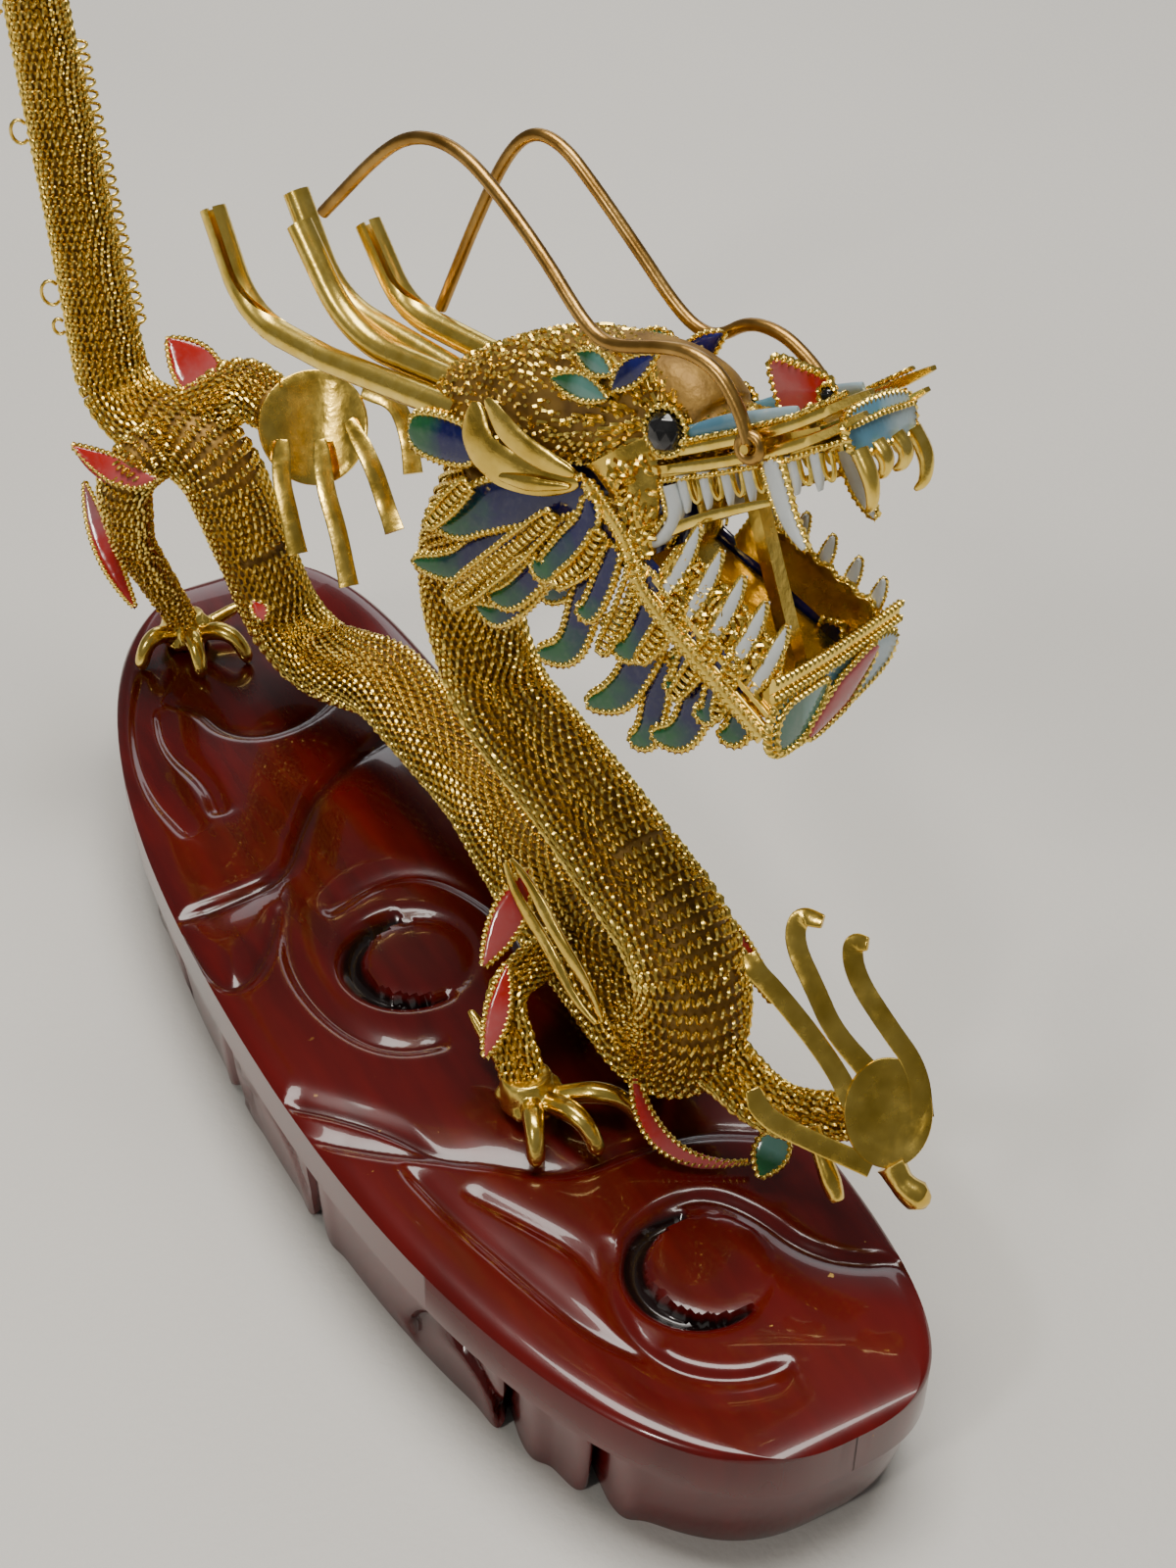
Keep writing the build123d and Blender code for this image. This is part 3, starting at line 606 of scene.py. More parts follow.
SCARLET, ROSE, LILAC = (0.42, 0.014, 0.010), (0.42, 0.075, 0.075), (0.30, 0.11, 0.13)
COBALT, GREEN, TEAL = (0.002, 0.003, 0.075), (0.010, 0.105, 0.030), (0.12, 0.30, 0.26)
WHITE, SKY = (0.62, 0.66, 0.66), (0.10, 0.26, 0.38)
scarlet = finish("scarlet_enamel", glass(ROSE, SCARLET), Coat_Weight=0.4)
lilac = finish("lilac_enamel", glass(SCARLET, LILAC), Coat_Weight=0.4)
green = finish("green_enamel", glass(TEAL, GREEN), Coat_Weight=0.4)
cobalt = finish("cobalt_enamel", glass(COBALT, (0.006, 0.008, 0.13)), Coat_Weight=0.5)
cobalt_to_green = finish("cobalt_to_green_enamel", glass(COBALT, GREEN), Coat_Weight=0.4)
white = finish("white_enamel", glass(WHITE, (0.50, 0.55, 0.56)), Coat_Weight=0.3)
sky = finish("sky_enamel", glass(SKY, (0.30, 0.42, 0.48)), Coat_Weight=0.4)


def rope(line, up, radius=0.36, closed=True, twist=0.65):
    """Two strands of wire twisted into a cord, along a line. twist is the length of a half turn."""
    line = evenly(line, 0.2, closed)
    length = np.linalg.norm(np.diff(line, axis=0), axis=1).sum()
    halves = round(length / twist)
    angle = np.arange(len(line))[:, None] / len(line) * halves * pi + np.arange(6) * tau / 6
    swell = radius * (1 + 0.32 * np.cos(2 * np.arange(6) * tau / 6))
    return sweep(line, up, np.stack([swell * np.cos(angle), swell * np.sin(angle)], -1), closed)


def petal(sheet, spine, half, thick=0.55, rise=PLATE / 2, sides=12):
    """A domed leaf: an oval section drawn along a spine. half is its half width at each point."""
    oval = circle(1, sides) * np.stack([half, np.full_like(half, thick / 2)], -1)[:, None]
    return sweep(sheet.at(spine, rise), sheet.off, oval)


def arcs(root, tip, belly, back, count=22):
    """The spine, the half width and the outline of a leaf between two arcs from root to tip."""
    root, tip, belly, back = (np.array(p, float) for p in (root, tip, belly, back))
    t = np.linspace(0.02, 0.985, count)[:, None]
    edges = [(1 - t) ** 2 * root + 2 * t * (1 - t) * (2 * mid - (root + tip) / 2) + t**2 * tip for mid in (belly, back)]
    outline = np.vstack([edges[0], edges[1][::-1]])
    return sum(edges) / 2, np.linalg.norm(edges[0] - edges[1], axis=1) / 2, outline


def reach_of(count, sides):
    """How far along its leaf each point of a swept leaf is, from 0 to 1."""
    return np.repeat(np.linspace(0, 1, count), sides)


gold = finish("gilt_sheet", gilding, Metallic=1.0)
BODY_FLAMES = (
    ("right_shoulder_flame", facing(17.5, -4.8, 34.4), scarlet, (-3, -4.5), (1.6, 5.6), (1.0, 0), (-1.9, 1.5)),
    ("right_foreleg_flame", facing(22.6, -9.3, 28.4), scarlet, (-1.2, -4.6), (1, 5.2), (1.2, -0.5), (-1, 0.5)),
    ("left_shoulder_flame", facing(33, 11.4, 37.5), lilac, (4, -6), (-4, 5), (1.2, 0.6), (0, -1.0)),
    ("breast_flame", facing(38.6, 3, 22.6), scarlet, (7, -4.5), (-5, 6), (-0.8, -2.6), (-2.6, -3.2)),
    ("left_elbow_tuft", facing(46.6, 9.6, 22), green, (0, 2.5), (-2.2, -2.8), (-2.6, 0.5), (0.5, -0.8)),
    ("right_thigh_flame", facing(-55.6, -17.9, 51), scarlet, (5, -1.6), (-5, 2.2), (0.4, -2.4), (-0.2, 1.0)),
    ("right_shin_flame", facing(-60.6, -17.6, 37), lilac, (2.4, -8), (-4, 7.5), (-2.6, -1), (-0.6, 0.5)),
    ("left_thigh_flame", facing(-59, -6, 57.4), scarlet, (3.4, -4.4), (-3.4, 4.4), (2.2, 2.4), (-1.6, -1.6)),
    ("body_flame", facing(-42.2, -6.6, 35), scarlet, (0, -1.2), (-1.4, 1.2), (0.4, 0.6), (-1.2, -0.4)),
    ("tail_flame", Sheet((-72, -12.9, 123), (1, 0, 0), (0, 0, 1)), green, (0, 0), (7, 12.5), (6, 3), (0, 8)),
)
for name, sheet, enamel, *points in BODY_FLAMES:
    spine, half, outline = arcs(*points)
    leaf = petal(sheet, spine, half, 0.6)
    colour = "green_enamel" if enamel is green else "red_enamel"
    piece(name.replace("flame", "enamel").replace("tuft", "enamel"), leaf, enamel, colour, [name],
          reach=reach_of(len(spine), 12))
    rim = rope(smooth(sheet.at(outline, PLATE / 2), closed=True, rounds=1), sheet.off, 0.3)
    piece(f"{name}_rim", rim, gold, "gilt_sheet")

# Limbs. Each is a tapering sleeve of springs. The two planted paws are castings with talons and
# a peg below; the two raised ones are cut from sheet, with the strips bent up into fingers.
right_fore_foot, right_hind_foot = np.array([27, -8, 18.02]), np.array([-62.5, -10, 18.02])
LIMBS = (
    ("right_foreleg", (((17, 1, 29), 0), ((20.5, -8, 28.5), 3.6), (right_fore_foot + (-1.4, 0, 3), 0)), (2.2, 2.2, 2.5)),
    ("left_foreleg", (((38, 6, 30), 0), ((46, 9, 26.5), 8), ((54.4, 15, 31.6), 0)), (3.4, 2.8, 2.2)),
    ("right_thigh", (((-57, -11, 51), 0), ((-55.5, -17.5, 50), 4.2), ((-57.5, -16.8, 42), 0)), (3.6, 3.4, 3.1)),
    ("right_shin", (((-57.5, -16.8, 42), 0), ((-58.5, -16.4, 38), 6), (right_hind_foot + (0, 0, 3), 0)), (3, 2.4, 2)),
    ("left_thigh", (((-58, -7, 53), 0), ((-56.5, -1.4, 56.5), 3.9), ((-51, 0.5, 55.8), 0)), (3.9, 3.8, 3.4)),
)
for name, corners, girths in LIMBS:
    line = rounded(corners)
    width = np.interp(np.linspace(0, 1, len(line)), (0, 0.5, 1), girths)
    sleeve = springs(line, width, 0.95, 0.85, 0.18, 0.24, 0.05)
    # a dark core of painted shade inside each sleeve, which shows between the strokes
    core = sweep(line[::2], frames(line[::2])[2], circle(1, 16) * (width[::2] - 0.7)[:, None, None])
    piece(f"{name}_sleeve", sleeve, wirework, "gilt_wirework", [name])
    piece(f"{name}_core", core, shade_lining, "gilt_wirework")


def taper(points, radii, up, sides=10, rounds=3):
    """A rod along a smooth line, as thick at each place as the radii say."""
    line = smooth(points, rounds=rounds)
    wide = np.interp(np.linspace(0, 1, len(line)), np.linspace(0, 1, len(radii)), radii)
    return sweep(line, up, circle(1, sides) * wide[:, None, None])


def cast(name, shapes, voxel, nodes):
    """Lumps and rods run together into one casting, as melted metal does."""
    made = piece(name, together(shapes), gold, "gilt_sheet", nodes)
    for kind, values in (("REMESH", {"mode": "VOXEL", "voxel_size": voxel * MM, "use_smooth_shade": True}),
                         ("SMOOTH", {"factor": 0.6, "iterations": 2})):
        modifier = made.modifiers.new(kind.lower(), kind)
        for key, value in values.items():
            setattr(modifier, key, value)
        bpy.ops.object.modifier_apply(modifier=modifier.name)
    made.data.materials.clear()
    made.data.materials.append(gold)
    return made


PLANTED = (
    ("right_fore_paw", right_fore_foot, ((-23, 8), (18, 9.5), (50, 11.5)), (190, 10, 6)),
    ("right_hind_paw", right_hind_foot, ((-70, 7.5), (-8, 7.5), (35, 9)), (92, 8, 3.5)),
)
for name, foot, talons, (spur_heading, spur_reach, spur_rise) in PLANTED:
    lump = foot + np.array([[0, 0, 0.3], [-0.3, 0, 2], [-0.8, 0, 4.2]])
    shapes = [taper(lump, (2.4, 3.1, 2.9, 2.4), (1, 0, 0), 16)]
    for lift, (bead_x, bead_y) in zip((1.1, 2.2, 3.0, 1.6), ((2.2, 0.6), (-1.2, -2.4), (0.6, 2.3), (1.6, -1.9))):
        bead = foot + np.array([bead_x, bead_y, lift])
        shapes.append(taper([bead - (0, 0, 0.9), bead, bead + (0, 0, 0.9)], (0.3, 1.0, 0.3), (1, 0, 0), 8))
    for heading, reach in talons:
        way = np.array([cos(radians(heading)), sin(radians(heading)), 0])
        bent = [foot + way * (reach * along) + (0, 0, up) for along, up in
                ((0.1, 1.6), (0.32, 2.8), (0.6, 3.9), (0.82, 3.5), (0.97, 1.6), (1.0, 0.05))]
        shapes.append(taper(bent, (1.4, 1.05, 1.2, 1.0, 0.95, 0.12), (0, 0, 1)))
    way = np.array([cos(radians(spur_heading)), sin(radians(spur_heading)), 0])
    spur = [foot + way * (spur_reach * along) + (0, 0, 1.6 + (spur_rise - 1.6) * along**1.5) for along in (0, 0.35, 0.75, 1)]
    shapes.append(taper(spur, (1.2, 0.95, 0.8, 0.3), (0, 0, 1), 8))
    shapes.append(taper([foot - (0, 0, 3.9), foot - (0, 0, 2), foot], (0.79, 0.79, 0.79), (1, 0, 0)))
    cast(f"{name}_casting", shapes, 0.2, [name])


def strip(line, up, width, thick=0.5):
    """A cut strip of sheet, bent along a line, its face towards up. width may change along it."""
    line = smooth(line, rounds=3)
    wide = np.interp(np.linspace(0, 1, len(line)), np.linspace(0, 1, len(width)), width)
    corner = np.array([(-1, -0.6), (-0.8, -1), (0.8, -1), (1, -0.6), (1, 0.6), (0.8, 1), (-0.8, 1), (-1, 0.6)])
    return sweep(line, up, corner * np.stack([wide / 2, np.full_like(wide, thick / 2)], -1)[:, None])


def hammered(start):
    dents = noise(start, 700, 3)
    tone = noise(start, 260, 4).between(0.3, 0.7).mix((0.60, 0.39, 0.055), (0.95, 0.68, 0.15))
    return {
        "Base Color": tone,
        "Roughness": dents.between(0.3, 0.75) * 0.16 + 0.16,
        "Normal": bump(start, dents, 0.00012, 0.55),
    }


beaten = finish("beaten_gilt_sheet", hammered, Metallic=1.0)
RAISED = (
    ("left_fore_paw", facing(56.3, 14, 34.6), (4.1, 5.1), (
        ((-13, 14.6, 1.2), (-12.4, 13, 1.6), (-10.5, 11.2, 0.8), (-5.4, 4.9, 0), (-3.0, 0.4, 0)),
        ((-6.3, 17.6, 1.6), (-8.4, 18.2, 0.6), (-8.9, 15.6, 0.2), (-6.8, 11.2, 0.6), (-5.2, 7.6, 0.6), (-2.0, 4, 0)),
        ((-2.2, 15.6, 1.6), (-3.6, 15.8, 0.6), (-3.2, 12.6, 0.2), (-0.2, 8, 0.6), (2.7, 4.1, 0.4), (3.2, -0.4, 0)),
        ((-12.6, 2.2, 1.0), (-11.6, -0.4, 0.6), (-6.7, -2.8, 0.2), (-1.5, -5.0, 0)),
    ), 1.9),
    ("left_hind_paw", facing(-46.3, 3, 55.1), (6.2, 6.6), (
        ((-3.4, -1.7, 0.4), (-3.6, -6, 0.9), (-2.6, -10, 0.8), (-1.6, -14.6, 0.2)),
        ((0.8, -1.6, 0.2), (1.4, -7, 0.7), (3.0, -12, 0.6), (4.2, -18.2, 0)),
        ((4.0, 0.6, 0.2), (6.8, -4.4, 1.0), (8.2, -8.6, 0.2), (9.4, -12, 1.0)),
        ((5.5, 3.9, 0), (9.2, 3, 0.8), (10.8, -0.6, 0.2), (11.4, -5.4, 0.6)),
    ), 2.1),
)
for name, sheet, sole, fingers, width in RAISED:
    middle = sheet.at(((0, 0),), 0.35)[0]
    bpy.ops.object.select_all(action="DESELECT")
    bpy.ops.mesh.primitive_circle_add(vertices=48, radius=1, fill_type="TRIFAN")
    palm = bpy.context.object
    palm.name = f"{name}_palm"
    bpy.ops.object.mode_set(mode="EDIT")
    bpy.ops.mesh.select_all(action="SELECT")
    bpy.ops.mesh.subdivide(number_cuts=5)
    bpy.ops.object.mode_set(mode="OBJECT")
    for vertex in palm.data.vertices:
        far = vertex.co.length
        cupped = (0.5 * far**2 - 0.15) if name == "left_fore_paw" else (2.0 * vertex.co.x**2 - 1.2)
        place = middle + sheet.x * vertex.co.x * sole[0] + sheet.y * vertex.co.y * sole[1] + sheet.off * cupped
        vertex.co = place * MM
    for kind, values in (("SOLIDIFY", {"thickness": 0.5 * MM, "offset": 0}),
                         ("BEVEL", {"width": 0.12 * MM, "segments": 2})):
        modifier = palm.modifiers.new(kind.lower(), kind)
        for key, value in values.items():
            setattr(modifier, key, value)
        bpy.ops.object.modifier_apply(modifier=modifier.name)
    bpy.ops.object.shade_smooth_by_angle(angle=radians(40))
    palm.data.materials.append(beaten)
    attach(palm, "dragon")
    strips = [strip(sheet.at(finger, 0.5), sheet.off, (width * 0.62, width, width, width, width * 1.1)) for finger in fingers]
    if name == "left_fore_paw":
        heel = sheet.at(((0.4, -4.8, 0.2), (1.4, -6.6, 0.4), (2.6, -7.6, 0.4), (3.8, -8.2, 0)))
        strips.append(taper(heel, (1.5, 1.2, 1.5, 0.5), sheet.off, 8))
        bar = sheet.at(((-6.8, -1.6, -1.2), (-5.6, -5, -1.0), (-4.4, -8.4, -1.0)))
        strips.append(taper(bar, (1.0, 0.8, 1.0, 0.6), sheet.off, 8))
    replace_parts(palm, name)
    piece(f"{name}_fingers", together(strips), beaten, "gilt_sheet")

# the gilt frame, long and lens-shaped, where the breast and the throat come together
lens = Sheet((22.4, -2.4, 35.2), unit(np.array([0.83, 0.1, -0.52])), (0, 0, 1))
lens = Sheet(lens.origin, lens.x, unit(np.cross((0.16, -0.98, 0.06), lens.x)))
bow = np.linspace(-1, 1, 24)
upper = np.stack([9.2 * bow, 2.5 * (1 - bow**2), 0.6 + 0.5 * np.cos(bow * 3)], -1)
lower = np.stack([9.2 * bow, -1.9 * (1 - bow**2), 0.6 - 0.3 * np.cos(bow * 4)], -1)
sides = [strip(lens.at(edge), lens.off + lens.y * 0.5, (0.5, 1.3, 1.2, 0.5), 0.4) for edge in (upper, lower)]
piece("breast_strips", together(sides), beaten, "gilt_sheet", ["breast_frame"])

# Head. A hollow skull covered all over in little loops of wire, which fan out round the eyes,
# with black glass beads for eyes, folded gilt ears and enamelled leaves for brows.
SKULL = smooth((  # forward, top, bottom and half width
    (-9, 1.5, -1.0, 1.0), (-8.6, 4.2, -3.4, 3.0), (-5, 6.2, -4.3, 4.2), (1, 7.0, -4.6, 4.6),
    (8, 6.9, -5.2, 4.7), (14, 5.3, -6.2, 4.7), (18, 3.6, -6.5, 4.6), (20.6, 1.2, -6.4, 4.5),
    (22.0, -2.8, -6.3, 4.3), (26.5, -4.4, -5.8, 3.6), (27.6, -4.8, -5.2, 0.8)), rounds=3)


def skull_at(forward, turn):
    """Places on the skull, from how far forward they are and their turn round it."""
    top, bottom, wide = (np.interp(forward, SKULL[:, 0], SKULL[:, k]) for k in (1, 2, 3))
    across, up = (np.sign(v) * np.abs(v) ** 0.8 for v in (np.cos(turn), np.sin(turn)))
    return on_head(np.stack([forward, wide * across, (top + bottom) / 2 + (top - bottom) / 2 * up], -1))


# a dark shell under the loops, painted shade for the inside of the hollow skull
forward, turn = np.meshgrid(SKULL[:, 0], np.arange(28) * tau / 28, indexing="ij")
middle = on_head(np.stack([SKULL[:, 0], 0 * SKULL[:, 0], SKULL[:, 1:3].mean(1)], -1))
hull = skull_at(forward, turn) - middle[:, None]
section = np.stack([hull @ -HEAD_LEFT, hull @ HEAD_UP], -1) * 0.97
section = section[:, ::-1]
piece("skull_shell", sweep(middle, HEAD_UP, section), shade_lining, "gilt_wirework", ["skull"])


def strokes(places, outward, ways, lengths, heights, wires):
    """Little arches of wire that stand on a surface at each place, each along its own way."""
    bend = np.linspace(-1, 1, 5)[:, None]
    rods = []
    for place, out, way, length, height, wire in zip(places, outward, ways, lengths, heights, wires):
        arch = place + way * bend * length / 2 + out * (height * (1 - bend**2) - 0.1)
        rods.append(sweep(arch, out + way * 0.01, circle(wire, 4)))
    return together(rods)


EYE = (19.8, 5.1, -3.4)
rows = evenly(SKULL[:, :2], 0.86)[1:-1, 0]
forward = np.repeat(rows, 36) + chance.normal(0, 0.1, len(rows) * 36)
turn = np.tile(np.arange(36) * tau / 36, len(rows)) + np.repeat(np.arange(len(rows)) % 2, 36) * 0.09
turn = turn + chance.normal(0, 0.04, len(turn))
place = skull_at(forward, turn)
ahead, beside = skull_at(forward + 0.1, turn) - place, skull_at(forward, turn + 0.05) - place
outward = unit(np.cross(ahead, beside))
eyes = on_head([(EYE[0], side * EYE[1], EYE[2]) for side in (-1, 1)])
eye = np.where(((place - HEAD_ORIGIN) @ HEAD_LEFT < 0)[:, None], eyes[0], eyes[1])
fan = unit(place - eye)
curl = unit(chance.normal(0, 1, fan.shape))
wild = np.clip((9 - forward) / 10, 0.12, 0.85)[:, None]
way = fan * (1 - wild) + curl * wild
way = unit(way - outward * (way * outward).sum(-1, keepdims=True))
near = np.linalg.norm(place - eye, axis=1)
kept = near > 2.3
length = np.where(near < 8, 1.75, 1.15) + chance.normal(0, 0.1, len(near))
height = np.where(forward < 6, 0.62, 0.34) + chance.normal(0, 0.12, len(near))
wire = np.where(near < 8, 0.23, 0.2)
fur = strokes(*(values[kept] for values in (place, outward, way, length, height, wire)))
piece("skull_wirework", fur, wirework, "gilt_wirework")


def side_of(hand, out=4.8):
    """A sheet along one side of the head, facing out. hand is -1 on the right and 1 on the left."""
    return Sheet(on_head((0, hand * out, 0)), HEAD_ON, HEAD_UP, -hand)


def black_glass(start):
    return {"Roughness": noise(start, 300).between(0, 1) * 0.12 + 0.08,
            "Base Color": noise(start, 800).between(0.3, 0.7).mix((0.004, 0.004, 0.004), (0.012, 0.012, 0.013))}


bead_glass = finish("black_glass", black_glass, Coat_Weight=0.5)
for name, hand in (("right", -1), ("left", 1)):
    bpy.ops.object.select_all(action="DESELECT")
    bpy.ops.mesh.primitive_ico_sphere_add(subdivisions=2, radius=1.9 * MM, location=on_head((EYE[0], hand * EYE[1], EYE[2])) * MM)
    bead = bpy.context.object
    bead.name = f"{name}_eye_bead"
    bpy.ops.object.mode_set(mode="EDIT")
    bpy.ops.mesh.select_all(action="SELECT")
    bpy.ops.mesh.bevel(offset=0.08 * MM, segments=1)
    bpy.ops.object.mode_set(mode="OBJECT")
    bpy.ops.object.transform_apply(location=True, rotation=True, scale=True)
    bead.data.materials.append(bead_glass)
    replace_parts(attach(bead, "dragon"), f"{name}_eye")

    side = side_of(hand)
    ring = np.stack([EYE[0] + 2.1 * np.cos(np.arange(24) * tau / 24), EYE[2] + 2.1 * np.sin(np.arange(24) * tau / 24)], -1)
    trim = [rope(side.at(ring, 0.55), side.off, 0.3)]
    for root, tip, belly, back, enamel, tint in (
        ((14.6, 0.2), (8.8, 3.0), (11.2, 0.7), (12.4, 2.7), green, "green"),
        ((15.6, 2.2), (12.2, 4.6), (13.2, 2.6), (14.6, 4.2), green, "green_upper"),
        ((15.2, 0.9), (20.6, 3.0), (18.0, 1.0), (17.0, 3.0), cobalt, "cobalt"),
    ):
        spine, half, outline = arcs(root, tip, belly, back)
        lean = 0.35 - 0.10 * np.clip(spine[:, 1], 0, 5)
        leaf = petal(side, np.c_[spine, lean], half, 0.7, 0)
        nodes = [f"{name}_brow"] if tint == "green" else []
        slot = "blue_enamel" if tint == "cobalt" else "green_enamel"
        piece(f"{name}_brow_{tint}", leaf, enamel, slot, nodes, reach=reach_of(len(spine), 12))
        lean = 0.45 - 0.10 * np.clip(outline[:, 1], 0, 5)
        trim.append(rope(side.at(np.c_[outline, lean]), side.off, 0.27))
    spine = smooth(((-8.2, 1.2), (-4.8, -0.2), (-1.4, -1.6)), rounds=3)
    half = 2.1 * np.sqrt(1 - np.linspace(-0.96, 0.96, len(spine)) ** 2)
    patch = petal(side, spine, half, 0.9, 0.7)
    piece(f"{name}_temple_enamel", patch, cobalt_to_green, "blue_enamel", reach=1 - reach_of(len(spine), 12))
    lift = np.gradient(spine, axis=0)
    lift = unit(np.stack([-lift[:, 1], lift[:, 0]], -1)) * half[:, None]
    trim.append(rope(side.at(np.vstack([spine + lift, (spine - lift)[::-1]]), 0.7), side.off, 0.36))
    piece(f"{name}_head_trim", together(trim), gold, "gilt_sheet")
    folds = (
        (((9.2, -6.2, 0.4), (5.5, -5.6, 1.0), (1.6, -3.6, 1.4), (-0.6, -1.0, 1.3), (0.4, 2.4, 0.8)), (0.4, 1.3, 1.9, 1.7, 0.4)),
        (((9.4, -5.4, 0.9), (6.4, -3.4, 1.6), (3.6, -0.6, 1.7), (1.8, 2.4, 1.0)), (0.3, 1.1, 1.2, 0.3)),
        (((8.4, -6.4, 0.8), (4.6, -5.4, 1.9), (1.6, -4.4, 1.6)), (0.2, 0.7, 0.3)),
    )
    ears = []
    for route, widths in folds:
        line = smooth(route, rounds=3)
        ears.append(petal(side, line, np.interp(np.linspace(0, 1, len(line)), np.linspace(0, 1, len(widths)), widths), 0.5, 0))
    piece(f"{name}_ear_folds", together(ears), beaten, "gilt_sheet", [f"{name}_ear"])

# Upper jaw. Two gilt rails run along each side of an open trough, with a strip of pale blue
# behind them, enamelled teeth below, a canine, and a red plate along the nose with two beads.
def plate(name, sheet, outline, thick, rise, material, nodes=()):
    """A flat plate cut to an outline, with its edges rounded over."""
    curve = bpy.data.curves.new(name, "CURVE")
    curve.dimensions, curve.fill_mode = "2D", "BOTH"
    curve.extrude, curve.bevel_depth, curve.bevel_resolution = thick / 2 - 0.12, 0.12, 2
    curve.offset = -0.12
    spline = curve.splines.new("POLY")
    spline.points.add(len(outline) - 1)
    for point, (x, y) in zip(spline.points, outline):
        point.co = (x, y, 0, 1)
    spline.use_cyclic_u = True
    made = bpy.data.objects.new(name, curve)
    bpy.context.scene.collection.objects.link(made)
    bpy.ops.object.select_all(action="DESELECT")
    made.select_set(True)
    bpy.context.view_layer.objects.active = made
    bpy.ops.object.convert(target="MESH")
    made = bpy.context.object
    bpy.ops.object.mode_set(mode="EDIT")
    bpy.ops.mesh.select_all(action="SELECT")
    bpy.ops.mesh.remove_doubles(threshold=0.002)
    bpy.ops.object.mode_set(mode="OBJECT")
    flat = np.array([v.co for v in made.data.vertices])
    made.data.vertices.foreach_set("co", (sheet.at(flat, rise) * MM).ravel())
    made.data.update()
    bpy.ops.object.mode_set(mode="EDIT")
    bpy.ops.mesh.select_all(action="SELECT")
    bpy.ops.mesh.normals_make_consistent(inside=False)
    bpy.ops.object.mode_set(mode="OBJECT")
    bpy.ops.object.shade_smooth_by_angle(angle=radians(40))
    made.data.attributes.new("reach", "FLOAT", "POINT").data.foreach_set(
        "value", (flat[:, 0] - flat[:, 0].min()) / np.ptp(flat[:, 0]))
    made.data.materials.append(material)
    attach(made, "dragon")
    if nodes:
        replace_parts(made, *nodes)
    return made


def leaf_of(sheet, route, widths, thick, rise=0.0):
    """A domed leaf along a smooth route, as wide as the widths say, and its outline."""
    line = smooth(route, rounds=3)
    half = np.interp(np.linspace(0, 1, len(line)), np.linspace(0, 1, len(widths)), widths) / 2
    way = unit(np.gradient(line[:, :2], axis=0))
    across = np.stack([-way[:, 1], way[:, 0]], -1) * half[:, None]
    outline = np.vstack([line[:, :2] + across, (line[:, :2] - across)[::-1]])
    return petal(sheet, line, half, thick, rise), outline, len(line)


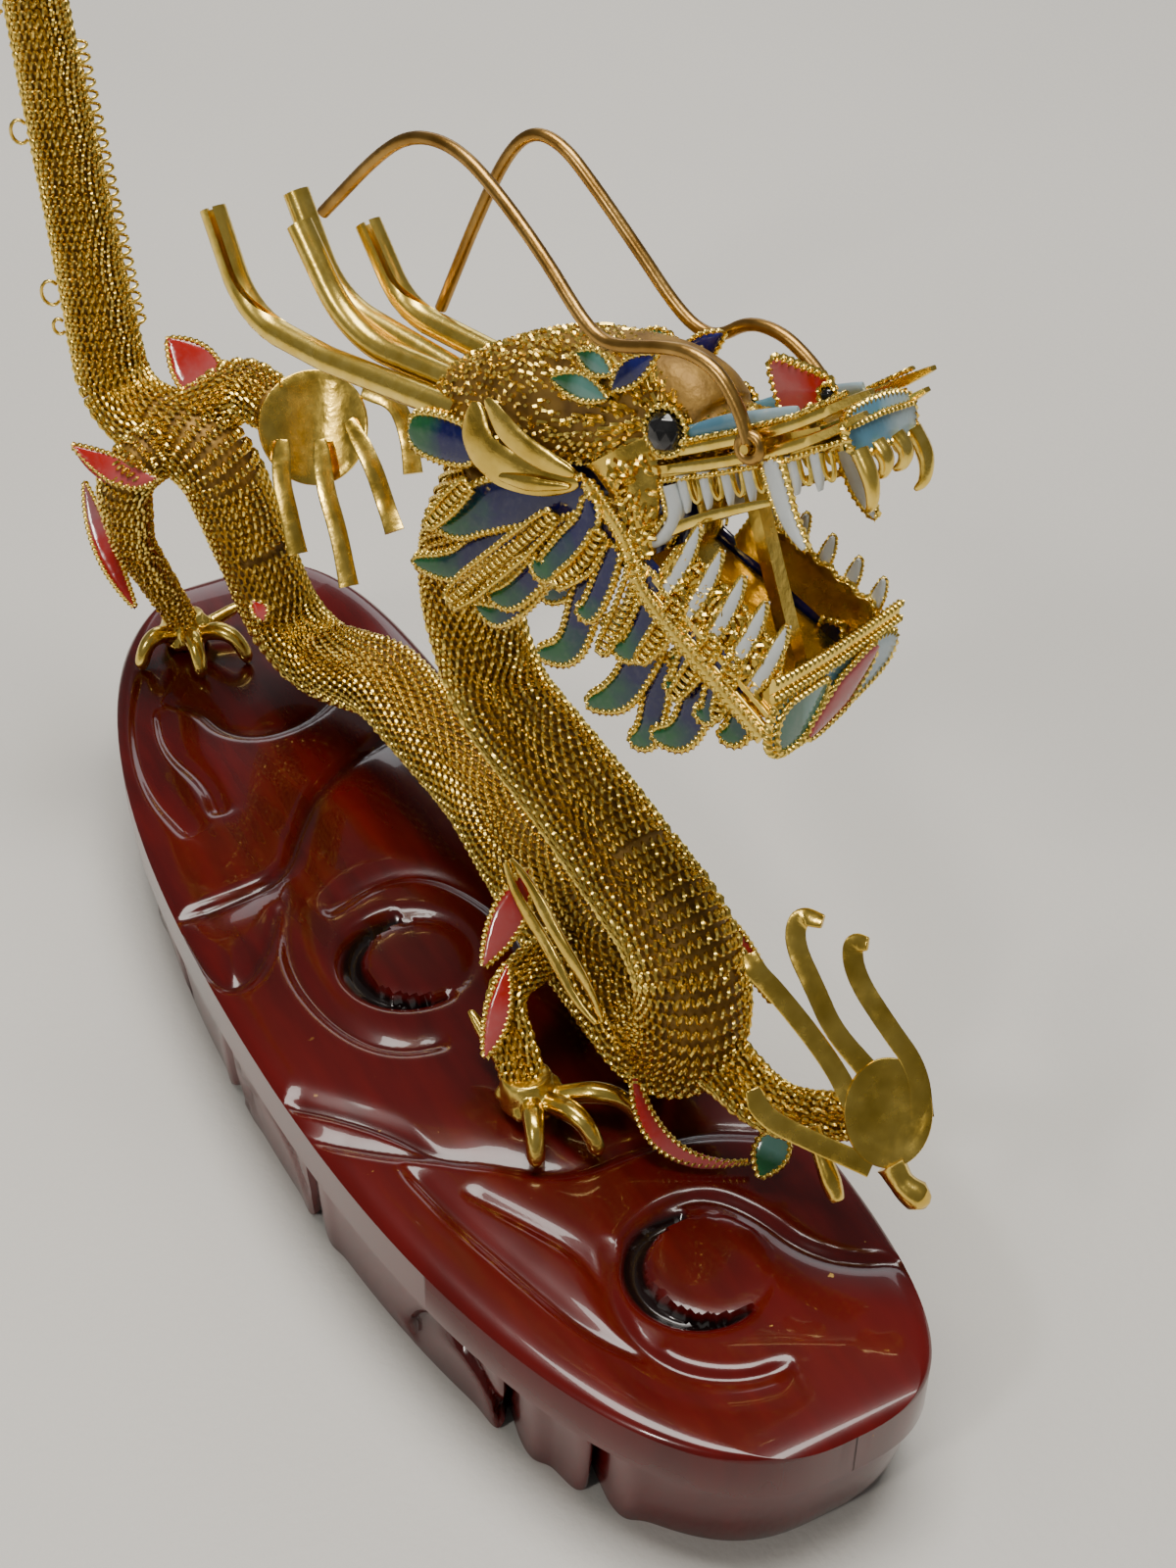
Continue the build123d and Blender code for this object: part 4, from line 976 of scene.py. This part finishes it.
for name, hand in (("right", -1), ("left", 1)):
    side = side_of(hand)
    rails = [
        strip(side.at(((17.4, -5.2, 0.1), (24, -5.1, 0.5), (31, -5.0, 0.5), (36, -4.2, 0.3), (40, -3.4, 0.0))), side.off, (0.8, 1.0, 1.0, 0.9, 0.4), 0.8),
        strip(side.at(((17.4, -6.4, 0.1), (24, -6.7, 0.5), (31, -6.6, 0.5), (36, -5.9, 0.3), (39, -5.0, 0.0))), side.off, (0.8, 1.0, 1.0, 0.8, 0.4), 0.8),
        rope(side.at(((17.6, -7.4, 0.4), (24, -7.6, 0.6), (31, -7.5, 0.6), (37, -6.8, 0.4))), side.off, 0.24, False, 0.5),
        rope(side.at(((21, -4.45, 0.8), (27, -4.4, 0.8), (33, -4.1, 0.7), (38, -3.1, 0.3))), side.off, 0.22, False, 0.5),
    ]
    piece(f"{name}_rails", together(rails), gold, "gilt_sheet", [f"{name}_jaw_rail"])
    strip_leaf, _, count = leaf_of(side, ((21.5, -3.9), (26, -3.7), (33, -3.9)), (1.0, 1.6, 1.0), 0.5, 0.2)
    piece(f"{name}_cheek_strip", strip_leaf, sky, "white_enamel", reach=reach_of(count, 12))
    teeth, trims = [], []
    for x in np.arange(20.2, 35, 2.25):
        if abs(x - 29.6) > 1:
            teeth.append(leaf_of(side, ((x, -7.2, 0.3), (x - 0.1, -9, 0.3), (x - 0.3, -10.4, 0.3)), (1.5, 1.15, 0.15), 0.7)[0])
        gap = x + 1.12
        loop = side.at(((gap - 0.5, -7.4, 0.4), (gap - 0.45, -9.2, 0.5), (gap, -9.8, 0.5), (gap + 0.45, -9.2, 0.5), (gap + 0.5, -7.4, 0.4)))
        trims.append(sweep(smooth(loop, rounds=2), side.off, circle(0.24, 6)))
    fang, outline, count = leaf_of(side, ((29.6, -7.2, 0.6), (29.8, -10, 0.7), (30.0, -12.4, 0.8), (31.0, -14.8, 0.8)), (1.9, 2.0, 1.5, 0.4), 0.9)
    teeth += [fang, taper(side.at(((18.8, -7.8, 0.3), (18.9, -10.4, 0.4), (17.2, -12, 0.4), (14.6, -12.8, 0.2))), (0.75, 0.75, 0.6, 0.15), side.off)]
    trims.append(rope(side.at(outline, 0.7), side.off, 0.3))
    trims.append(strip(side.at(((15.4, -12.2, 0.4), (18.6, -11.4, 0.5), (23, -10.8, 0.6), (28.6, -10.6, 0.5))), side.off, (0.6, 1.0, 0.9, 0.6), 0.5))
    trims.append(rope(side.at(((18.0, -7.6, 0.7), (18.0, -10.2, 0.8), (16.4, -11.4, 0.8), (14.2, -12.0, 0.5))), side.off, 0.24, False, 0.5))
    piece(f"{name}_upper_teeth_enamel", together(teeth), white, "white_enamel", [f"{name}_upper_teeth"])
    piece(f"{name}_upper_trim", together(trims), gold, "gilt_sheet")
    cheek, outline, _ = leaf_of(side, ((14.2, -4.2, -0.2), (15.0, -8, 0.3), (14.8, -11, 0.4), (14.0, -14.2, 0.2)), (9.0, 5.6, 3.0, 1.2), 1.5)
    piece(f"{name}_cheek", cheek, beaten, "gilt_sheet")
    grain = chance.uniform(0, 1, (70, 2))
    spots = np.stack([15.4 + (grain[:, 0] - 0.5) * (5.2 - 3.6 * grain[:, 1]) - 1.2 * grain[:, 1] ** 2, -5.2 - 8.6 * grain[:, 1]], -1)
    ways = unit(side.x * chance.normal(0.2, 1, 70)[:, None] + side.y * chance.normal(0, 1, 70)[:, None])
    curls = strokes(side.at(spots, 1.0), np.tile(side.off, (70, 1)), ways, np.full(70, 1.1), np.full(70, 0.4), np.full(70, 0.2))
    piece(f"{name}_cheek_wirework", curls, wirework, "gilt_wirework")

ridge = Sheet(on_head((0, -0.2, 0)), HEAD_ON, HEAD_UP)
corner = smooth(((28.0, 0.8), (31.0, -0.8), (34.0, -2.6), (32.2, -4.2), (28.4, -5.4), (28.0, -2.4)), True, 3)
plate("nose_enamel", ridge, corner, 0.7, 0, scarlet, ["nose_plate"])
beads = [rope(ridge.at(corner, 0), ridge.off, 0.42)]
for x, z in ((33.2, -3.4), (31.4, -4.8)):
    turn = np.arange(12) * tau / 12
    beads.append(rope(ridge.at(np.stack([x + 0.85 * np.cos(turn), z + 0.85 * np.sin(turn)], -1), 0.6), ridge.off, 0.24))
piece("nose_trim", together(beads), gold, "gilt_sheet")
drops = [taper(ridge.at(((x, z, 0.2), (x, z, 0.7), (x, z, 1.0))), (0.7, 0.65, 0.3), HEAD_UP, 10) for x, z in ((33.2, -3.4), (31.4, -4.8))]
piece("nostril_beads", together(drops), bead_glass, "black_bead")

front = Sheet(on_head((37.0, 0, 0)), HEAD_LEFT, HEAD_UP)
lip = smooth(((-5.2, -4.4), (5.2, -4.4), (5.4, -7.0), (4.2, -8.4), (0, -8.0), (-4.2, -8.4), (-5.4, -7.0)), True, 2)
plate("lip_enamel", front, lip, 0.6, 0, sky, ["front_fangs"])
hooks = [rope(front.at(lip, 0), front.off, 0.36)]
for x in (-4.2, -1.5, 1.5, 4.2):
    drop = 1.0 if abs(x) > 2 else 0.55
    hooks.append(taper(front.at(((x, -7.8, 0.2), (x * 1.05, -7.8 - 2.4 * drop, 0.9), (x, -7.8 - 4.4 * drop, 0.4), (x * 0.9, -7.8 - 5.0 * drop, -0.6))), (0.8, 0.75, 0.5, 0.12), front.x))
hooks.append(rope(front.at(((-5.2, -5.8, 0.4), (0, -5.6, 0.5), (5.2, -5.8, 0.4))), front.off, 0.25, False))
piece("lip_trim", together(hooks), gold, "gilt_sheet")

# Lower jaw. A widening gilt tray that hangs open on a strut, with openwork sides, white enamel
# teeth let into them, and a broad enamelled plate across the chin.
DROP = radians(51)
JAW_ORIGIN = on_head((14, 0, -15))
JAW_ON = HEAD_ON * cos(DROP) - HEAD_UP * sin(DROP)
JAW_UP = HEAD_ON * sin(DROP) + HEAD_UP * cos(DROP)


def on_jaw(points):
    points = np.asarray(points, float)
    return JAW_ORIGIN + points @ np.array([JAW_ON, HEAD_LEFT, JAW_UP])


for name, hand in (("right", -1), ("left", 1)):
    flare = unit(JAW_ON + HEAD_LEFT * hand * 0.126)
    wall = Sheet(on_jaw((-1, hand * 5.0, 0)), flare, JAW_UP, -hand)
    scallops = [(16.2 - k * 1.12, 5.4 + 0.75 * (k % 2) - 0.03 * k) for k in range(13)]
    outline = smooth([(2.2, -0.4), (19, -0.4), (17.6, 2.4), *scallops, (2.4, 5.0)], True, 2)
    plate(f"{name}_jaw_wall", wall, outline, 0.5, 0.4, beaten, [f"{name}_lower_teeth"])
    trims = [rope(wall.at(outline, 0.45), wall.off, 0.26)]
    teeth = []
    for x in (3.8, 6.8, 9.8, 12.8, 15.6):
        tooth, edge, count = leaf_of(wall, ((x, 0.9, 0.7), (x + 0.2, 3.4, 0.8), (x - 0.1, 6.2, 0.9), (x - 0.6, 8.2, 0.7)), (1.1, 1.5, 1.2, 0.2), 0.7)
        teeth.append(tooth)
        trims.append(rope(wall.at(edge, 0.9), wall.off, 0.2, True, 0.45))
    grain = chance.uniform(0, 1, (110, 2))
    spots = np.stack([3 + 13.4 * grain[:, 0], 0.4 + 4.8 * grain[:, 1]], -1)
    ways = unit(wall.x * chance.normal(0, 1, 110)[:, None] + wall.y * chance.normal(0, 1, 110)[:, None])
    trims.append(strokes(wall.at(spots, 0.7), np.tile(wall.off, (110, 1)), ways, np.full(110, 1.2), np.full(110, 0.45), np.full(110, 0.2)))
    for low, thick in ((-0.5, 1.1), (0.9, 0.5)):
        trims.append(strip(wall.at(((-0.6, low, 0.6), (8, low, 0.9), (19.2, low, 0.9))), wall.off, (0.8, thick, thick), 0.6))
    corner = side_of(hand).at(((10.2, -6.4, 0.6), (12.0, -9.2, 1.0), (13.4, -12.6, 1.0)))
    band = np.vstack([corner, wall.at(((1.6, -0.9, 1.2), (9, -0.9, 1.4), (19.2, -0.9, 1.3)))])
    for across in (-0.55, 0.55):
        trims.append(rope(smooth(band, rounds=2) + wall.y * across * 0.8 + wall.x * across * 0.5, wall.off, 0.32, False))
    trims.append(strip(smooth(band, rounds=1), wall.off, (1.2, 1.4, 1.4), 0.4))
    piece(f"{name}_lower_teeth_enamel", together(teeth), white, "white_enamel")
    piece(f"{name}_jaw_trim", together(trims), gold, "gilt_sheet")

chin = Sheet(on_jaw((18.8, 0, 0)), HEAD_LEFT, unit(HEAD_ON * 0.36 + HEAD_UP * 0.93))
back_plate = smooth(((-9.7, -1.7), (-4, -1.5), (2, -0.5), (9.6, 1.8), (10.4, 4.8), (3, 4.5), (-4, 3.9), (-9.7, 3.3)), True, 2)
plate("chin_back", chin, back_plate, 0.7, 0, sky, ["chin_plate"])
near_part = smooth(((-9.3, -1.3), (-5.6, -1.2), (-3.0, 1.0), (-1.2, 3.6), (-4, 3.5), (-9.3, 2.9)), True, 2)
teal = finish("teal_enamel", glass((0.05, 0.17, 0.11), TEAL), Coat_Weight=0.4)
plate("chin_teal", chin, near_part, 0.5, 0.4, teal)
rose = finish("rose_enamel", glass(ROSE, (0.45, 0.10, 0.11)), Coat_Weight=0.4)
lens_leaf, lens_edge, count = leaf_of(chin, ((-4.6, -0.9), (0.8, 1.5), (5.6, 4.3)), (0.5, 3.6, 0.6), 0.9, 0.6)
piece("chin_lens", lens_leaf, rose, "red_enamel", reach=reach_of(count, 12))
trims = [rope(chin.at(back_plate, 0), chin.off, 0.42), rope(chin.at(near_part, 0.6), chin.off, 0.28),
         rope(chin.at(lens_edge, 0.7), chin.off, 0.28)]
for low in (4.3, 5.7):
    trims.append(rope(chin.at(((-9.8, low - 0.4, 0.1), (-3, low, 0.3), (3, low + 0.5, 0.3), (10.4, low + 1.1, 0.1))), chin.off, 0.34, False))
trims.append(strip(chin.at(((-9.6, 4.6, -0.1), (-3, 5.0, 0.1), (3, 5.5, 0.1), (10.2, 6.0, -0.1))), chin.off, (1.2, 1.4, 1.2), 0.5))
piece("chin_trim", together(trims), gold, "gilt_sheet")

for node in ("palate", "nose_bridge", "jaw_tray", "jaw_strut", "right_whisker_pin", "left_whisker_pin"):
    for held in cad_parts[node].material_slots:
        held.material = beaten

# Mane. Behind each jaw a fan of enamelled flames, cobalt at the root and green at the hooked tip,
# lies in two layers, with openwork gilt leaves of twisted wire between them.
FLAMES = (  # each route from root to tip, the width, and how far out it lies
    (((9.8, -7.2), (3.5, -7.0), (-2.5, -6.8), (-6.5, -8.0), (-9.2, -6.5)), (2.0, 4.4, 4.6, 3.0, 0.5), 0.2),
    (((0, -9.5), (-5, -10.6), (-9, -12.2), (-13.4, -10.8)), (1.6, 2.6, 2.6, 0.5), -0.6),
    (((5, -11.2), (1.5, -13.6), (-2.4, -15.6), (-4.6, -15.0)), (2.0, 2.6, 2.4, 0.6), 0.0),
    (((2, -14.0), (-2, -16), (-5.2, -17.4), (-7.2, -15.8)), (1.4, 2.2, 2.0, 0.5), -0.7),
    (((8.4, -13.4), (5.8, -17.6), (3.0, -21.2), (-0.6, -20.8)), (2.2, 3.2, 2.6, 0.6), 0.1),
    (((14.6, -18.4), (11.4, -22.4), (7.8, -25.6), (4.0, -25.8)), (2.2, 3.4, 2.8, 0.6), 0.1),
    (((13.4, -22.6), (11.6, -26.0), (9.6, -29.6), (7.6, -29.6)), (1.6, 2.6, 2.4, 0.7), -0.5),
    (((18.2, -23.6), (16.4, -27.4), (14.0, -29.6), (11.2, -28.9)), (2.0, 3.2, 2.6, 0.6), 0.2),
    (((23.4, -23.6), (22.2, -26.8), (20.6, -29.6), (18.8, -29.4)), (2.2, 2.8, 2.2, 0.6), 0.2),
    (((10.6, -7.6), (9.9, -9.8), (7.0, -11.4), (3.2, -13.6), (2.6, -12.2)), (1.0, 2.2, 2.6, 2.2, 0.5), 1.1),
    (((12.0, -12.2), (9.8, -15.0), (7.2, -17.8), (6.2, -17.0)), (1.4, 2.0, 1.9, 0.5), 1.1),
    (((15.2, -15.0), (14.0, -18.4), (11.0, -21.6), (9.0, -20.6)), (1.6, 2.6, 2.4, 0.5), 1.1),
    (((19.3, -19.8), (17.8, -22.4), (15.6, -25.2), (14.6, -24.2)), (1.4, 2.1, 1.8, 0.5), 1.1),
    (((22.0, -21.9), (20.2, -24.8), (18.4, -27.8), (17.4, -26.8)), (1.3, 1.9, 1.7, 0.5), 1.1),
)
BARS = (
    (((6.2, -8.6), (0.3, -11.2), (-5.3, -13.4), (-8.6, -14.8)), (1.2, 2.4, 2.6, 1.4)),
    (((11.0, -10.8), (8.6, -13.2), (4.4, -14.6)), (1.6, 2.0, 1.0)),
    (((14.2, -13.9), (12.2, -17.2), (7.6, -21.2)), (1.7, 2.1, 0.9)),
    (((18.0, -17.7), (15.1, -20.2), (12.2, -22.2)), (1.7, 1.9, 0.8)),
    (((21.4, -21.1), (18.6, -23.2), (15.4, -25.6)), (1.6, 1.8, 0.8)),
    (((23.2, -22.8), (21.4, -25.2), (19.6, -27.6)), (1.4, 1.5, 0.7)),
    (((-2.6, -4.6), (-5.4, -6.0), (-8.8, -7.6)), (1.4, 1.8, 0.8)),
)
for name, hand in (("right", -1), ("left", 1)):
    side = side_of(hand)
    leaves, rims, shares = [], [], []
    for route, widths, out in FLAMES:
        out += 0.13 * max(0, (route[0][0] - 14) * 0.63 - (route[0][1] + 15) * 0.78)
        leaf, outline, count = leaf_of(side, route, widths, 0.6, out)
        leaves.append(leaf)
        shares.append(reach_of(count, 12))
        rims.append(rope(side.at(evenly(outline, 0.5, True), out), side.off, 0.36))
    piece(f"{name}_mane_flames", together(leaves), cobalt_to_green, "blue_enamel", [f"{name}_mane"], reach=np.concatenate(shares))
    route = ((8.6, -8.6, 0), (11.3, -10.8, 0.1), (13.9, -14.2, 0.2), (17, -18.4, 0.7), (20.4, -22.4, 1.4), (23.2, -25.4, 2.0))
    band, _, count = leaf_of(side, route, (3.6, 3.6, 2.8, 3.2, 3.2, 2.4), 0.6, 0.5)
    piece(f"{name}_mane_band", band, cobalt, "blue_enamel", reach=reach_of(count, 12))
    for route, widths in BARS:
        _, outline, _ = leaf_of(side, route, widths, 0.5)
        out = 1.4 + 0.13 * max(0, (route[0][0] - 14) * 0.63 - (route[0][1] + 15) * 0.78)
        rims.append(rope(side.at(evenly(outline, 0.5, True), out), side.off, 0.3))
        rims.append(helix(side.at(smooth(route, rounds=3), out), 0.42, 0.75, 0.2, 6))
    piece(f"{name}_mane_rims", together(rims), gold, "gilt_sheet")

# Horns. Gilt sheet rolled up into tubes, so a seam runs along each and its end is open.
angles = np.linspace(radians(12), radians(348), 16)
shell = np.stack([np.cos(angles), np.sin(angles)], -1)
c_section = np.vstack([shell * 1.28, shell[::-1] * 0.86])
c_lid = np.array([(k, k + 1, 30 - k, 31 - k) for k in range(15)])
for name, left, route, bend in (
    ("right_outer_horn", -3.4, ((-4, 1.8), (-18.3, 9), (-27, 14.6), (-27.8, 25.2)), 9),
    ("right_inner_horn", -1.3, ((-3.6, 3.4), (-16.6, 10.4), (-19.3, 21.6)), 12),
    ("left_inner_horn", 1.5, ((-4, 2.6), (-20, 14), (-21.4, 24.7)), 10),
    ("left_outer_horn", 3.6, ((-1, 3.6), (-13.6, 11.6), (-15.4, 20.2)), 8),
):
    corners = [(on_head((x, left, z)), bend) for x, z in route]
    line = rounded(corners, 0.5)
    seam = FRONT if "outer" in name else HEAD_UP
    tube = sweep(line, np.cross(seam, HEAD_ON + HEAD_UP), c_section, lid=c_lid[:, ::-1])
    piece(f"{name}_tube", tube, gold, "gilt_sheet", [name], angle=50)

# Whiskers. Two springy wires, toned brown, each with its root bent into an eye round its pin.
def toning(start):
    tone = noise(start, 300, 3).between(0.3, 0.7).mix((0.30, 0.155, 0.035), (0.52, 0.31, 0.09))
    return {"Base Color": tone, "Roughness": noise(start, 500, 3) * 0.2 + 0.22, "Normal": bump(start, noise(start, 900), 0.00005)}


bronzed = finish("toned_wire", toning, Metallic=1.0)
WHISKERS = (  # forward, left and up from the head's middle
    ("right", -1, "whisker_r", (
        (28.7, -6.6, -5.6), (28.6, -6.6, -3.0), (27.6, -6.6, 0.4), (25.4, -6.6, 2.5), (22.8, -6.6, 3.5),
        (18.0, -6.5, 4.3), (16.0, -6.4, 5.4), (14.4, -6.2, 7.8), (12.1, -5.7, 12.6), (8.4, -5, 18.7), (4.9, -4.5, 23.3),
        (0.7, -4.2, 25.6), (-3.9, -4, 25.5), (-13.9, -3.4, 21.8))),
    ("left", 1, "whisker_l", (
        (29.0, 6.6, -5.6), (28.4, 6.6, -3.0), (27.0, 6.6, -0.4), (25.0, 6.6, 2.0), (22.0, 6.6, 3.4), (18.6, 6.6, 2.6),
        (16.4, 6.5, 4.0), (14.7, 6.4, 6.8), (13.0, 6.2, 10.9), (10.2, 5.8, 17.3), (7.8, 5.7, 21.9), (5.0, 5.6, 23.8),
        (1.5, 5.7, 22.7), (-3.7, 6, 18.5), (-11.8, 6.4, 10.9))),
)
for name, hand, body, route in WHISKERS:
    line = evenly(smooth(on_head(route), rounds=4), 0.5)
    wire = sweep(line, HEAD_LEFT + HEAD_ON * 0.01, circle(0.6, 12))
    turn = np.arange(20) * tau / 20
    eye = on_head(np.stack([route[0][0] + 1.0 * np.cos(turn), np.full(20, hand * 6.6), -5.8 + 1.0 * np.sin(turn)], -1))
    piece(f"{name}_whisker_wire", together([wire, sweep(eye, HEAD_LEFT, circle(0.5, 10), closed=True)]), bronzed, "bronzed_wire", [f"{name}_whisker"], body=body)
